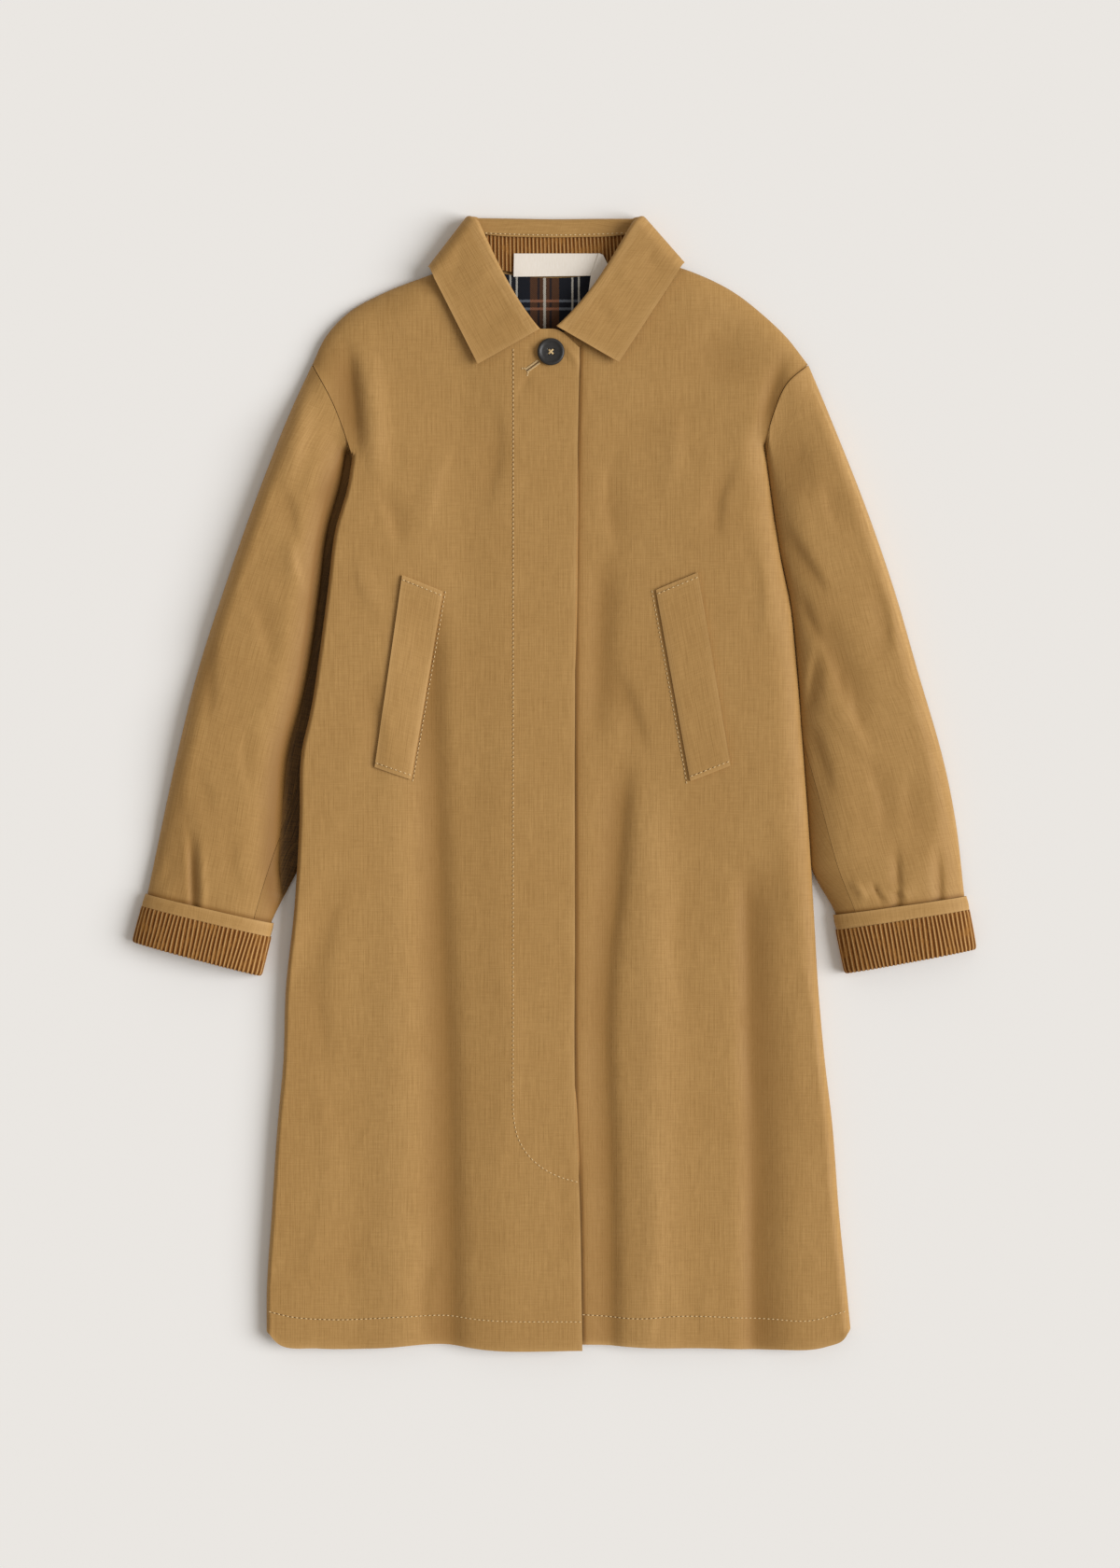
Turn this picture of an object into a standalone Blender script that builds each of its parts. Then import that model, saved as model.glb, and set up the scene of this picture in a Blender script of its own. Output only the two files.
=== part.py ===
"""Oilskin coat laid flat on its back, closed at the neck, the sleeves tucked under the body's sides.

Lengths in the tables are millimetres. X is to the viewer's right, Y towards the collar, Z up.
"""

import math

import bpy
import numpy as np

MM = 0.001

# Walls of the cloth pieces
SHELL = 1.8
FACING = 1.0
COLLAR = 2.0
CORD = 2.0
STRIP = 1.6
LINING = 1.0
TAPE = 0.8
WELT = 1.8
GAP = 0.4

# How the coat lies
LOFT = 12.0
HEM_DROP = 0.15
SIDE_ROUND_LEFT = 14.0
SIDE_ROUND_RIGHT = 34.0
SHOULDER_ROUND = 30.0
TUCK_LIFT = 4.5
NECK_LIFT = 2.5
OVERLAP_LIFT = SHELL + FACING + 0.9
EDGE_REST = SHELL / 2 + 0.6
CUFF_LIFT = 3.2

# Corduroy
WALE_HEIGHT = 0.7
CUFF_WALES = 66
STAND_WALES = 38

# Collar
ROLL = 3.5
ROLL_TIP = 1.3
ROLL_FRONT = 21.0
ROLL_BACK = ROLL + COLLAR / 2
FALL_DROP = 2.0

# Button
BUTTON_AT = (-2.9, 415.1)
BUTTON_HOLE = 0.95
BUTTON_HOLE_SPACING = 2.1
# Half outline of the button, columns radius and height
BUTTON_OUTLINE = (
    (0.0, 0.6), (9.0, 0.0), (11.8, 0.4), (13.2, 2.0), (12.4, 3.4),
    (11.0, 3.8), (9.6, 3.2), (8.6, 2.6), (0.0, 2.2),
)

# Outlines, columns x and y. Sides run from armpit to hem, armholes from armpit to shoulder tip.
SIDE_LEFT = (
    (-194.0, 314.0), (-198.5, 286.0), (-210.0, 246.0), (-217.5, 188.0), (-224.5, 134.0),
    (-235.0, 66.0), (-242.5, 33.0), (-245.0, -37.0), (-250.5, -127.0), (-258.5, -199.0),
    (-261.0, -271.0), (-266.0, -325.0), (-272.0, -415.0), (-277.0, -496.0), (-277.0, -529.0),
)
SIDE_RIGHT = (
    (203.0, 325.0), (209.0, 278.0), (217.5, 222.0), (228.0, 170.0), (233.5, 116.0),
    (239.0, 44.0), (245.0, -37.0), (250.5, -127.0), (255.0, -199.0), (261.5, -271.0),
    (268.0, -325.0), (275.0, -415.0), (283.0, -496.0), (286.0, -527.0),
)
ARMHOLE_LEFT = ((-194.0, 314.0), (-202.0, 338.0), (-212.0, 364.0), (-233.0, 404.0))
ARMHOLE_RIGHT = ((203.0, 325.0), (211.0, 355.0), (225.0, 386.0), (245.0, 404.0))
SHOULDER_LEFT = (
    (-233.0, 404.0), (-220.0, 431.0), (-200.0, 453.0),
    (-163.0, 474.0), (-125.0, 488.5), (-87.0, 503.0),
)
SHOULDER_RIGHT = (
    (245.0, 404.0), (224.0, 431.0), (201.0, 453.0),
    (174.0, 474.0), (132.0, 494.0), (89.0, 507.0),
)
HEM_OVER = (
    (-277.0, -529.0), (-266.0, -541.0), (-228.0, -545.4), (-174.0, -545.4),
    (-107.0, -541.8), (-66.0, -546.8), (27.4, -547.4),
)
HEM_UNDER = (
    (-30.0, -541.8), (29.0, -542.0), (96.0, -545.0), (150.0, -545.4),
    (213.0, -547.0), (262.0, -544.0), (279.0, -537.5), (286.0, -527.0),
)
HEM_BACK = (
    (-277.0, -529.0), (-263.0, -539.0), (-200.0, -542.0), (0.0, -542.0),
    (212.0, -542.0), (272.0, -538.0), (286.0, -527.0),
)
FRONT_EDGE = ((27.4, -547.4), (24.0, -383.0), (21.0, -325.0), (20.2, -145.0), (22.2, 287.0), (24.8, 419.4))
UNDER_EDGE = ((-30.0, -541.8), (-30.0, -200.0), (-30.0, 150.0), (-29.0, 416.0))
NECK_OVER = ((-87.0, 503.0), (-62.0, 470.0), (-40.0, 446.0), (-14.0, 437.5), (2.0, 437.0), (24.8, 419.4))
NECK_UNDER = ((-29.0, 416.0), (6.0, 427.0), (35.0, 441.0), (62.0, 470.0), (89.0, 507.0))
BACK_NECK = ((-87.0, 503.0), (-45.0, 493.0), (0.0, 489.5), (45.0, 493.5), (89.0, 507.0))

# Folds of the body and sleeves: a line from (x0, y0) to (x1, y1), half width, rise
BODY_FOLDS = (
    (-112.0, 110.0, -104.0, -230.0, 22.0, -2.6),
    (-105.0, -200.0, -101.0, -545.0, 25.0, -3.6),
    (-148.0, -60.0, -152.0, -520.0, 26.0, 2.2),
    (47.0, 130.0, 44.0, -60.0, 20.0, -2.6),
    (45.0, -180.0, 50.0, -540.0, 22.0, -3.4),
    (93.0, -40.0, 96.0, -500.0, 24.0, 2.2),
    (60.0, 106.0, 87.0, 34.0, 14.0, -2.0),
    (200.0, -100.0, 203.0, -540.0, 24.0, -3.6),
    (152.0, 428.0, 170.0, 388.0, 24.0, -2.6),
    (-203.0, 398.0, -195.0, 330.0, 13.0, -5.0),
    (224.0, 400.0, 204.0, 350.0, 12.0, -3.0),
)
SLEEVE_FOLDS = (
    (-230.0, 396.0, -252.0, 306.0, 10.0, 2.4),
    (-331.0, 134.0, -333.0, 76.0, 13.0, -2.2),
    (-344.0, -70.0, -347.0, -104.0, 7.0, -2.4),
    (233.0, 338.0, 237.0, 296.0, 9.0, -4.0),
    (237.0, 292.0, 226.0, 250.0, 8.0, -3.6),
    (226.0, 246.0, 254.0, 196.0, 9.0, -3.4),
    (242.0, 248.0, 288.0, 92.0, 10.0, -4.0),
    (331.0, -82.0, 332.0, -104.0, 6.0, -2.0),
    (371.0, -80.0, 372.0, -102.0, 6.0, -2.0),
)

# Sleeves from armhole to inside the cuff: outer x and y, inner x and y, crown, rounding at the outer
# and inner edge, drape of the inner slope, share of the width at the seam on top
SLEEVE_LEFT = (
    (-233.9, 403.3, -195.2, 312.8, 15.0, 38.0, 50.0, 2.0, 0.80),
    (-258.0, 350.0, -176.0, 251.0, 19.0, 38.0, 50.0, 2.0, 0.80),
    (-289.5, 269.0, -172.0, 179.0, 21.0, 40.0, 55.0, 2.0, 0.80),
    (-318.0, 188.0, -183.0, 107.0, 21.0, 42.0, 55.0, 2.0, 0.80),
    (-344.0, 107.0, -203.0, 35.0, 20.0, 44.0, 55.0, 2.0, 0.80),
    (-364.0, 26.0, -225.5, -28.0, 19.0, 48.0, 52.0, 1.7, 0.80),
    (-378.5, -41.0, -248.0, -82.0, 17.5, 54.0, 50.0, 1.3, 0.81),
    (-392.2, -107.6, -273.8, -134.9, 16.0, 58.0, 48.0, 1.0, 0.87),
    (-399.7, -139.4, -282.3, -169.3, 16.0, 58.0, 48.0, 1.0, 0.87),
)
SLEEVE_RIGHT = (
    (246.2, 403.0, 204.4, 323.6, 15.0, 38.0, 50.0, 2.0, 0.80),
    (268.0, 350.0, 188.0, 256.0, 19.0, 38.0, 50.0, 2.0, 0.80),
    (300.0, 269.0, 184.0, 179.0, 21.0, 40.0, 55.0, 2.0, 0.80),
    (328.0, 188.0, 193.0, 107.0, 21.0, 42.0, 55.0, 2.0, 0.80),
    (351.5, 107.0, 209.0, 35.0, 20.0, 44.0, 55.0, 2.0, 0.79),
    (375.0, 26.0, 229.0, -28.0, 19.0, 48.0, 52.0, 1.7, 0.81),
    (388.5, -41.0, 251.0, -86.0, 17.5, 54.0, 50.0, 1.3, 0.84),
    (396.1, -109.6, 273.1, -127.0, 16.0, 58.0, 48.0, 1.0, 0.86),
    (401.5, -144.6, 281.1, -165.2, 16.0, 58.0, 48.0, 1.0, 0.86),
)
SLEEVE_ROWS = (0.0, 0.35, 0.7, 1.0, 1.5, 2.0, 2.5, 3.0, 3.5, 4.0, 4.5, 5.0, 5.5, 6.0, 6.5, 7.0, 8.0)

# Cuffs, under the turned-up bands: outer x and y, inner x and y at the strip's top, the corduroy's
# top and the lower edge
CUFF_LEFT = (
    (-392.2, -107.6, -273.8, -134.9),
    (-395.1, -119.9, -277.1, -148.2),
    (-402.9, -153.0, -286.0, -184.0),
)
CUFF_RIGHT = ((396.1, -109.6, 273.1, -127.0), (398.2, -123.1, 276.2, -141.7), (403.8, -159.6, 284.5, -181.6))

# Collar: tip on the roll line, corner at the top of the fold, the fold's lower end, width of the fall
# at the tip and at the back
COLLAR_LEFT = ((-14.0, 436.5), (-83.2, 548.1), (-121.5, 498.5), 68.0, 58.0)
COLLAR_RIGHT = ((3.1, 439.2), (86.0, 548.1), (126.0, 502.0), 68.5, 55.0)
BACK_RISE = 5.2
FALL_LEFT = ((-0.872, -0.489), (-0.612, -0.791))
FALL_RIGHT = ((0.867, -0.499), (0.662, -0.749))
FALL_BACK = 62.0
STRIP_FRONT = 5.0
STRIP_BACK = 13.5

# Pocket welts: corners at the top outside, top inside, bottom outside and bottom inside
WELT_LEFT = ((-146.0, 200.0), (-107.0, 184.5), (-172.5, 15.5), (-138.0, 3.5))
WELT_RIGHT = ((98.5, 186.0), (138.5, 202.5), (131.5, 2.0), (170.0, 17.0))

# Where the grids have their columns and rows, as shares across and along a panel
COLUMNS = (0.0, 0.008, 0.03, 0.065, 0.11, 0.17, 0.25, 0.34, 0.43, 0.52, 0.61, 0.7, 0.78, 0.85, 0.92, 1.0)
BACK_COLUMNS = (
    0.0, 0.03, 0.08, 0.13, 0.18, 0.24, 0.3, 0.36, 0.43, 0.5,
    0.57, 0.64, 0.7, 0.76, 0.82, 0.87, 0.92, 0.97, 1.0,
)
SIDE_ROWS = (0.0, 0.015, 0.05, 0.1, 0.17, 0.25, 0.33, 0.42, 0.51, 0.6, 0.69, 0.78, 0.87, 0.95, 1.0)
TOP_ROWS = (0.25, 0.5, 0.72, 0.88, 0.96, 1.0)
SIDE_SHARE = 0.8
EDGE_SHARE = 0.895

COLOURS = {
    "oilskin": (0.36, 0.22, 0.09),
    "corduroy": (0.27, 0.12, 0.03),
    "lining": (0.03, 0.03, 0.05),
    "tape": (0.75, 0.69, 0.56),
    "horn": (0.035, 0.032, 0.03),
}


def clear_scene():
    for old in list(bpy.data.objects):
        bpy.data.objects.remove(old, do_unlink=True)


def smooth(share):
    share = np.clip(share, 0.0, 1.0)
    return share * share * (3.0 - 2.0 * share)


def rounded(distance, radius):
    """Quarter ellipse from 0 at an edge to 1 at the radius."""
    share = np.clip(distance / radius, 0.0, 1.0)
    return np.sqrt(1.0 - (1.0 - share) ** 2)


def through(points, shares, even=False):
    """A smooth line through a table's points, at shares of its length or, if even, at row numbers."""
    p = np.array(points, float)
    steps = np.ones(len(p) - 1) if even else np.linalg.norm(np.diff(p, axis=0), axis=1)
    along = np.concatenate([[0.0], np.cumsum(steps)])
    slope = np.gradient(p, along, axis=0)
    s = np.asarray(shares, float) * (1.0 if even else along[-1])
    i = np.clip(np.searchsorted(along, s, side="right") - 1, 0, len(p) - 2)
    span = (along[i + 1] - along[i])[:, None]
    f = (s - along[i])[:, None] / span
    start = (1 + 2 * f) * (1 - f) ** 2 * p[i] + f * (1 - f) ** 2 * span * slope[i]
    end = f * f * (3 - 2 * f) * p[i + 1] + f * f * (f - 1) * span * slope[i + 1]
    return start + end


def away(x, y, line):
    """Distance of each point from a polyline."""
    best = np.full(np.shape(x), np.inf)
    for (x0, y0), (x1, y1) in zip(line[:-1], line[1:]):
        dx, dy = x1 - x0, y1 - y0
        t = np.clip(((x - x0) * dx + (y - y0) * dy) / (dx * dx + dy * dy), 0.0, 1.0)
        best = np.minimum(best, np.hypot(x - x0 - t * dx, y - y0 - t * dy))
    return best


def outside(x, y, line, side):
    """Distance from the body's side, 0 for what lies under the body."""
    order = np.argsort([point[1] for point in line])
    edge = np.interp(y, np.array(line)[order, 1], np.array(line)[order, 0])
    under = (side * (x - edge) > 0) & (y < line[0][1])
    return np.where(under, 0.0, away(x, y, line))


def fold_height(x, y, table):
    total = np.zeros(np.shape(x))
    for x0, y0, x1, y1, half, rise in table:
        total += rise * np.exp(-((away(x, y, ((x0, y0), (x1, y1))) / half) ** 2))
    return total


def tuck_lift(x, y, margin, ramp):
    """How far the body is lifted by the sleeves under its sides."""
    total = np.zeros(np.shape(x))
    for rows, side in ((SLEEVE_LEFT, 1.0), (SLEEVE_RIGHT, -1.0)):
        inner = np.array([row[2:4] for row in rows[:8]])
        reach = side * inner[::-1, 0]
        heights = np.concatenate([[-230.0], inner[::-1, 1], [345.0, 400.0]])
        reach = np.concatenate([[reach[0] - 60.0], reach, [reach[-1] - 4.0, reach[-1] - 110.0]])
        past = side * x - np.interp(y, heights, reach)
        total += TUCK_LIFT * (1.0 - smooth((past - margin) / ramp))
    return total


def neck_lift(x, y):
    """How far the body is lifted by the collar's fall under its back."""
    return NECK_LIFT * smooth((y - 395.0) / 76.0) * (1.0 - smooth((np.abs(x) - 130.0) / 50.0))


def back_height(x, y):
    return SHELL / 2 + tuck_lift(x, y, 18.0, 46.0) + neck_lift(x, y)


def front_rise(x, y):
    """Loft of the front above its resting edge, with the rounded sides, shoulders and folds."""
    left = rounded(away(x, y, SIDE_LEFT), SIDE_ROUND_LEFT)
    right = rounded(away(x, y, SIDE_RIGHT), SIDE_ROUND_RIGHT)
    shoulder = np.minimum(away(x, y, SHOULDER_LEFT), away(x, y, SHOULDER_RIGHT))
    loft = LOFT * (1.0 - HEM_DROP * smooth((-410.0 - y) / 137.0)) + fold_height(x, y, BODY_FOLDS)
    return loft * left * right * rounded(shoulder, SHOULDER_ROUND)


def front_height(x, y):
    """The front follows the back at its sides and slopes more gently inside them."""
    inside = smooth(np.minimum(away(x, y, SIDE_LEFT), away(x, y, SIDE_RIGHT)) / 60.0)
    lift = tuck_lift(x, y, 18.0, 46.0) * (1 - inside) + tuck_lift(x, y, 0.0, 150.0) * inside
    return SHELL / 2 + lift + neck_lift(x, y) + EDGE_REST + front_rise(x, y)


def over_height(x, y):
    return front_height(x, y) + OVERLAP_LIFT * smooth((x + 96.0) / 58.0)


def patch(left, right, bottom, top, across, along):
    """Grid between four edges."""
    u = np.asarray(across)[None, :, None]
    v = np.asarray(along)[:, None, None]
    ruled = (1 - u) * left[:, None] + u * right[:, None] + (1 - v) * bottom[None] + v * top[None]
    corners = (1 - v) * ((1 - u) * bottom[0] + u * bottom[-1]) + v * ((1 - u) * top[0] + u * top[-1])
    return ruled - corners


def raised(plan, height):
    return np.dstack([plan, height(plan[..., 0], plan[..., 1])])


def joined(first, second, split, shares):
    """One edge made of two lines that meet at the share split."""
    shares = np.asarray(shares)
    low = through(first, np.clip(shares / split, 0, 1))
    high = through(second, np.clip((shares - split) / (1 - split), 0, 1))
    return np.where((shares <= split)[:, None], low, high)


def normals(grid, wrap=False):
    if wrap:
        padded = np.concatenate([grid[:, -1:], grid, grid[:, :1]], axis=1)
        across = (padded[:, 2:] - padded[:, :-2]) / 2
    else:
        across = np.gradient(grid, axis=1)
    along = np.gradient(grid, axis=0)
    normal = np.cross(across, along)
    return normal / np.linalg.norm(normal, axis=2, keepdims=True)


def material(name, kind, roughness):
    made = bpy.data.materials.new(name)
    made.use_nodes = True
    shader = made.node_tree.nodes["Principled BSDF"]
    shader.inputs["Base Color"].default_value = (*COLOURS[kind], 1.0)
    shader.inputs["Roughness"].default_value = roughness
    return made


def solid(name, points, faces, kind, roughness=0.7):
    mesh = bpy.data.meshes.new(name)
    mesh.from_pydata((np.asarray(points) * MM).tolist(), [], faces)
    mesh.materials.append(material(name + "_" + kind, kind, roughness))
    made = bpy.data.objects.new(name, mesh)
    bpy.context.scene.collection.objects.link(made)
    return made


def shell(name, outer, inner, kind, wrap=False):
    """Closed wall between an outer and an inner grid."""
    rows, columns = outer.shape[:2]
    lower = rows * columns
    number = np.arange(lower).reshape(rows, columns)
    last = columns if wrap else columns - 1
    faces = []
    for j in range(last):
        k = (j + 1) % columns
        for i in range(rows - 1):
            a, b, c, d = number[i, j], number[i, k], number[i + 1, k], number[i + 1, j]
            faces.append((a, b, c, d))
            faces.append((a + lower, d + lower, c + lower, b + lower))
        a, b = number[0, j], number[0, k]
        faces.append((a + lower, b + lower, b, a))
        a, b = number[-1, j], number[-1, k]
        faces.append((a, b, b + lower, a + lower))
    for i in range(0 if wrap else rows - 1):
        a, b = number[i, 0], number[i + 1, 0]
        faces.append((a, b, b + lower, a + lower))
        a, b = number[i, -1], number[i + 1, -1]
        faces.append((a + lower, b + lower, b, a))
    points = np.concatenate([outer.reshape(-1, 3), inner.reshape(-1, 3)])
    return solid(name, points, [tuple(int(n) for n in face) for face in faces], kind)


def wall(name, middle, thickness, kind):
    offset = normals(middle) * thickness / 2
    return shell(name, middle + offset, middle - offset, kind)


def body_rows():
    low = np.array(SIDE_ROWS)
    high = np.array(TOP_ROWS)
    along = np.concatenate([low * SIDE_SHARE, SIDE_SHARE + high * (1 - SIDE_SHARE)])
    edge = np.concatenate([low * EDGE_SHARE, EDGE_SHARE + high * (1 - EDGE_SHARE)])
    return along, edge


def side_edge(side, armhole, along):
    return joined(side[::-1], armhole, SIDE_SHARE, along)


def make_back():
    along, _ = body_rows()
    across = np.array(BACK_COLUMNS)
    left = side_edge(SIDE_LEFT, ARMHOLE_LEFT, along)
    right = side_edge(SIDE_RIGHT, ARMHOLE_RIGHT, along)
    neck = joined(BACK_NECK, SHOULDER_RIGHT[::-1], 0.28 / 0.64, np.clip((across - 0.36) / 0.64, 0, 1))
    shoulder = through(SHOULDER_LEFT, np.clip(across / 0.36, 0, 1))
    top = np.where((across <= 0.36)[:, None], shoulder, neck)
    plan = patch(left, right, through(HEM_BACK, across), top, across, along)
    wall("back", raised(plan, back_height), SHELL, "oilskin")


def make_fronts():
    along, edge = body_rows()
    across = np.array(COLUMNS)
    left = side_edge(SIDE_LEFT, ARMHOLE_LEFT, along)
    top = joined(SHOULDER_LEFT, NECK_OVER, 0.52, across)
    over = patch(left, through(FRONT_EDGE, edge), through(HEM_OVER, across), top, across, along)
    wall("front_over", raised(over, over_height), SHELL, "oilskin")
    across = 1 - across[::-1]
    right = side_edge(SIDE_RIGHT, ARMHOLE_RIGHT, along)
    top = joined(NECK_UNDER, SHOULDER_RIGHT[::-1], 0.48, across)
    under = patch(through(UNDER_EDGE, edge), right, through(HEM_UNDER, across), top, across, along)
    wall("front_under", raised(under, front_height), SHELL, "oilskin")


def make_fly_facing():
    heights = np.linspace(-378.0, 408.0, 19)
    edge = through(FRONT_EDGE, np.linspace(0, 1, 60))
    right = np.interp(heights, edge[:, 1], edge[:, 0])
    peep = np.exp(-(((heights - 215.0) / 110.0) ** 4)) + np.exp(-(((heights + 335.0) / 45.0) ** 4))
    right = right - 1.2 + 3.0 * np.clip(peep, 0, 1)
    shares = np.linspace(0, 1, 5)[None, :]
    x = -34.0 + shares * (right[:, None] + 34.0)
    plan = np.dstack([x, np.repeat(heights[:, None], 5, axis=1)])
    lift = SHELL / 2 + GAP + FACING / 2
    wall("fly_facing", raised(plan, lambda x, y: front_height(x, y) + lift), FACING, "oilskin")


def sleeve_plan(rows, armhole, u, v):
    """Plan points of a sleeve at shares u across and row numbers v, with the row values."""
    values = through(rows, v, even=True)
    outer, inner = values[:, None, 0:2], values[:, None, 2:4]
    first = np.array(rows[0])
    straight = (1 - u)[..., None] * first[0:2] + u[..., None] * first[2:4]
    seam = through(armhole[::-1], u.reshape(-1)).reshape(u.shape + (2,))
    toward = first[0:2] - np.array(armhole[-1])
    bow = (seam + toward - straight) * ((1 - np.clip(v / 1.6, 0, 1)) ** 2)[:, None, None]
    return outer + u[..., None] * (inner - outer) + bow, values, seam


def sleeve_free(rows, armhole, v):
    """Share of each row's width that stands free of the body, which lies on the rest."""
    shares = np.repeat(np.linspace(0, 1, 240)[None, :], len(v), axis=0)
    plan, _, _ = sleeve_plan(rows, armhole, shares, v)
    body, side = (SIDE_LEFT, 1.0) if rows[0][0] < 0 else (SIDE_RIGHT, -1.0)
    clear = outside(plan[..., 0], plan[..., 1], body, side) > 6.0
    return np.where(clear.all(axis=1), 1.0, np.argmin(clear, axis=1) / 239.0)[:, None]


def sleeve_height(rows, armhole, u, v):
    """Plan points, the heights of the wall's middle below and on top, and the width of each row."""
    plan, values, seam = sleeve_plan(rows, armhole, u, v)
    width = np.hypot(values[:, 2] - values[:, 0], values[:, 3] - values[:, 1])[:, None]
    crown, outer_round, inner_round, drape = (values[:, k][:, None] for k in range(4, 8))
    slope = np.clip(sleeve_free(rows, armhole, v) - u, 0, 1) * width
    shape = rounded(u * width, outer_round) * rounded(slope, inner_round) ** drape
    own = (crown + fold_height(plan[..., 0], plan[..., 1], SLEEVE_FOLDS)) * shape
    at_seam = front_rise(seam[..., 0], seam[..., 1]) * rounded(slope, 10.0)
    rise = at_seam + (own - at_seam) * smooth(v / 1.3)[:, None]
    under = SHELL / 2 + CUFF_LIFT * smooth(v - 6.0)[:, None] + np.zeros_like(u)
    top = under + EDGE_REST + 0.7 * smooth(u / 0.3) + rise
    return plan, under, top, width


def make_sleeve(side, rows, armhole, turn):
    v = np.array(SLEEVE_ROWS)
    values = through(rows, v, even=True)
    seam = values[:, 8][:, None]
    free = sleeve_free(rows, armhole, v)
    width = np.hypot(values[:, 2] - values[:, 0], values[:, 3] - values[:, 1])[:, None]
    bend = 1.0 - 1.4 / width
    end = seam - (1.0 + 1.6 * (1 - smooth(v / 1.2)))[:, None] / width
    knee = np.minimum(free, end - 0.03)
    u = np.array((0.0, 0.025, 0.08, 0.18, 0.32, 0.5, 0.68, 0.85, 1.0))[None, :] * knee
    u = np.concatenate([u, (knee + end) / 2, end], axis=1)
    plan, _, top, _ = sleeve_height(rows, armhole, u, v)
    upper = np.dstack([plan, top])
    below = np.array((0.01, 0.25, 0.5, 0.75, 0.92, 1.0))[None, :] * bend
    plan, low, _, _ = sleeve_height(rows, armhole, below, v)
    bottom = np.dstack([plan, low])
    knee = np.clip(free, seam + 0.015, bend - 0.015)
    above = np.concatenate([bend, bend - 0.3 * (bend - knee), knee, (knee + seam) / 2, seam], axis=1)
    plan, _, top, _ = sleeve_height(rows, armhole, above, v)
    over = np.dstack([plan, top])
    turned = (bottom[:, -1:] + over[:, :1]) / 2
    turned[..., 0:2] += (bottom[:, -1:, 0:2] - bottom[:, -2:-1, 0:2]) * (14.0 / width)[:, :, None]
    under = np.concatenate([bottom, turned, over], axis=1)
    if turn:
        upper = upper[:, ::-1]
        under = under[:, ::-1]
    wall("sleeve_upper_" + side, upper[::-1], SHELL, "oilskin")
    wall("sleeve_under_" + side, under[:, ::-1][::-1], SHELL, "oilskin")


def cuff_loop(width):
    """Outline of the sleeve's end: distance across, height and outward direction, in even steps."""
    low, rest = SHELL / 2 + CUFF_LIFT, EDGE_REST
    crown, outer_round, inner_round = 16.0, 58.0, 48.0
    turn = np.linspace(0, math.pi / 2, 24)
    corner = np.linspace(0, math.pi / 2, 6)
    flat = np.linspace(1, 0, 60)
    ease = 0.7 * smooth(outer_round * (1 - np.cos(turn)) / width / 0.3)
    pieces = [
        np.stack([flat * width, 0 * flat + low, 0 * flat, 0 * flat - 1], 1),
        np.stack([0 * corner, 0 * corner + low, -np.sin(corner), -np.cos(corner)], 1),
        np.stack(
            [outer_round * (1 - np.cos(turn)), low + rest + ease + crown * np.sin(turn),
             -np.cos(turn) * crown, np.sin(turn) * outer_round], 1),
        np.stack(
            [width - inner_round * (1 - np.cos(turn[::-1])), low + rest + 0.7 + crown * np.sin(turn[::-1]),
             np.cos(turn[::-1]) * crown, np.sin(turn[::-1]) * inner_round], 1),
        np.stack([0 * corner + width, 0 * corner + low, np.cos(corner), -np.sin(corner)], 1),
    ]
    loop = np.concatenate(pieces)
    loop[:, 2:] /= np.linalg.norm(loop[:, 2:], axis=1, keepdims=True)
    return loop


def cuff_ring(corners, shares, offsets, columns, wale):
    """Grid round the sleeve's end: a row for each share of the way down and its offset outwards."""
    top, bottom = np.array(corners[0]), np.array(corners[1])
    width = np.hypot(top[2] - top[0], top[3] - top[1])
    loop = cuff_loop(width)
    edge = loop[:, :2] + 2.2 * loop[:, 2:]
    steps = np.linalg.norm(np.diff(edge, axis=0, append=edge[:1]), axis=1)
    along = np.concatenate([[0.0], np.cumsum(steps)])
    closed = np.concatenate([loop, loop[:1]])
    at = np.arange(columns) / columns * along[-1]
    q, z, dq, dz = (np.interp(at, along, closed[:, k]) for k in range(4))
    ridge = np.where(np.arange(columns) % 2 == 0, 0.0, 1.0)
    grid = []
    for share, offset, raise_by in zip(shares, offsets, wale):
        line = top + (bottom - top) * share
        out = offset + raise_by * ridge
        shift = ((q + dq * out) / width)[:, None]
        plan = line[0:2] + shift * (line[2:4] - line[0:2])
        grid.append(np.column_stack([plan, z + dz * out]))
    return np.array(grid)


def make_cuff(side, corners, turn):
    start = SHELL / 2 + GAP
    strip = (corners[0], np.array(corners[1]) + (np.array(corners[0]) - np.array(corners[1])) * 0.03)
    outer = cuff_ring(strip, (0, 1), (start + STRIP,) * 2, 48, (0, 0))
    inner = cuff_ring(strip, (0, 1), (start,) * 2, 48, (0, 0))
    order = slice(None) if turn else slice(None, None, -1)
    shell("cuff_strip_" + side, outer[:, order], inner[:, order], "oilskin", wrap=True)
    shares = (0.0, 0.92, 1.03, 0.8)
    offsets = (start + CORD, start + CORD, start - 0.4, start - 2.8)
    columns = 2 * CUFF_WALES
    outer = cuff_ring(corners[1:], shares, offsets, columns, (WALE_HEIGHT, WALE_HEIGHT, 0, 0))
    offsets = (start, start, start - 0.4, start - 0.8)
    inner = cuff_ring(corners[1:], (0.0, 0.92, 0.975, 0.8), offsets, columns, (0, 0, 0, 0))
    shell("cuff_cord_" + side, outer[:, order], inner[:, order], "corduroy", wrap=True)


def flap_floor(x, y):
    """Top of the cloth under the collar's points."""
    return over_height(x, y) + SHELL / 2 - OVERLAP_LIFT * smooth((x - 26.0) / 36.0)


def unit(x, y):
    return np.array((x, y)) / math.hypot(x, y)


def reach_to(start, direction, first, second):
    """How far from start, in a direction, the straight line through two points lies."""
    sides = np.column_stack([direction, np.array(first) - np.array(second)])
    return float(np.linalg.solve(sides, np.array(first) - start)[0])


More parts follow.
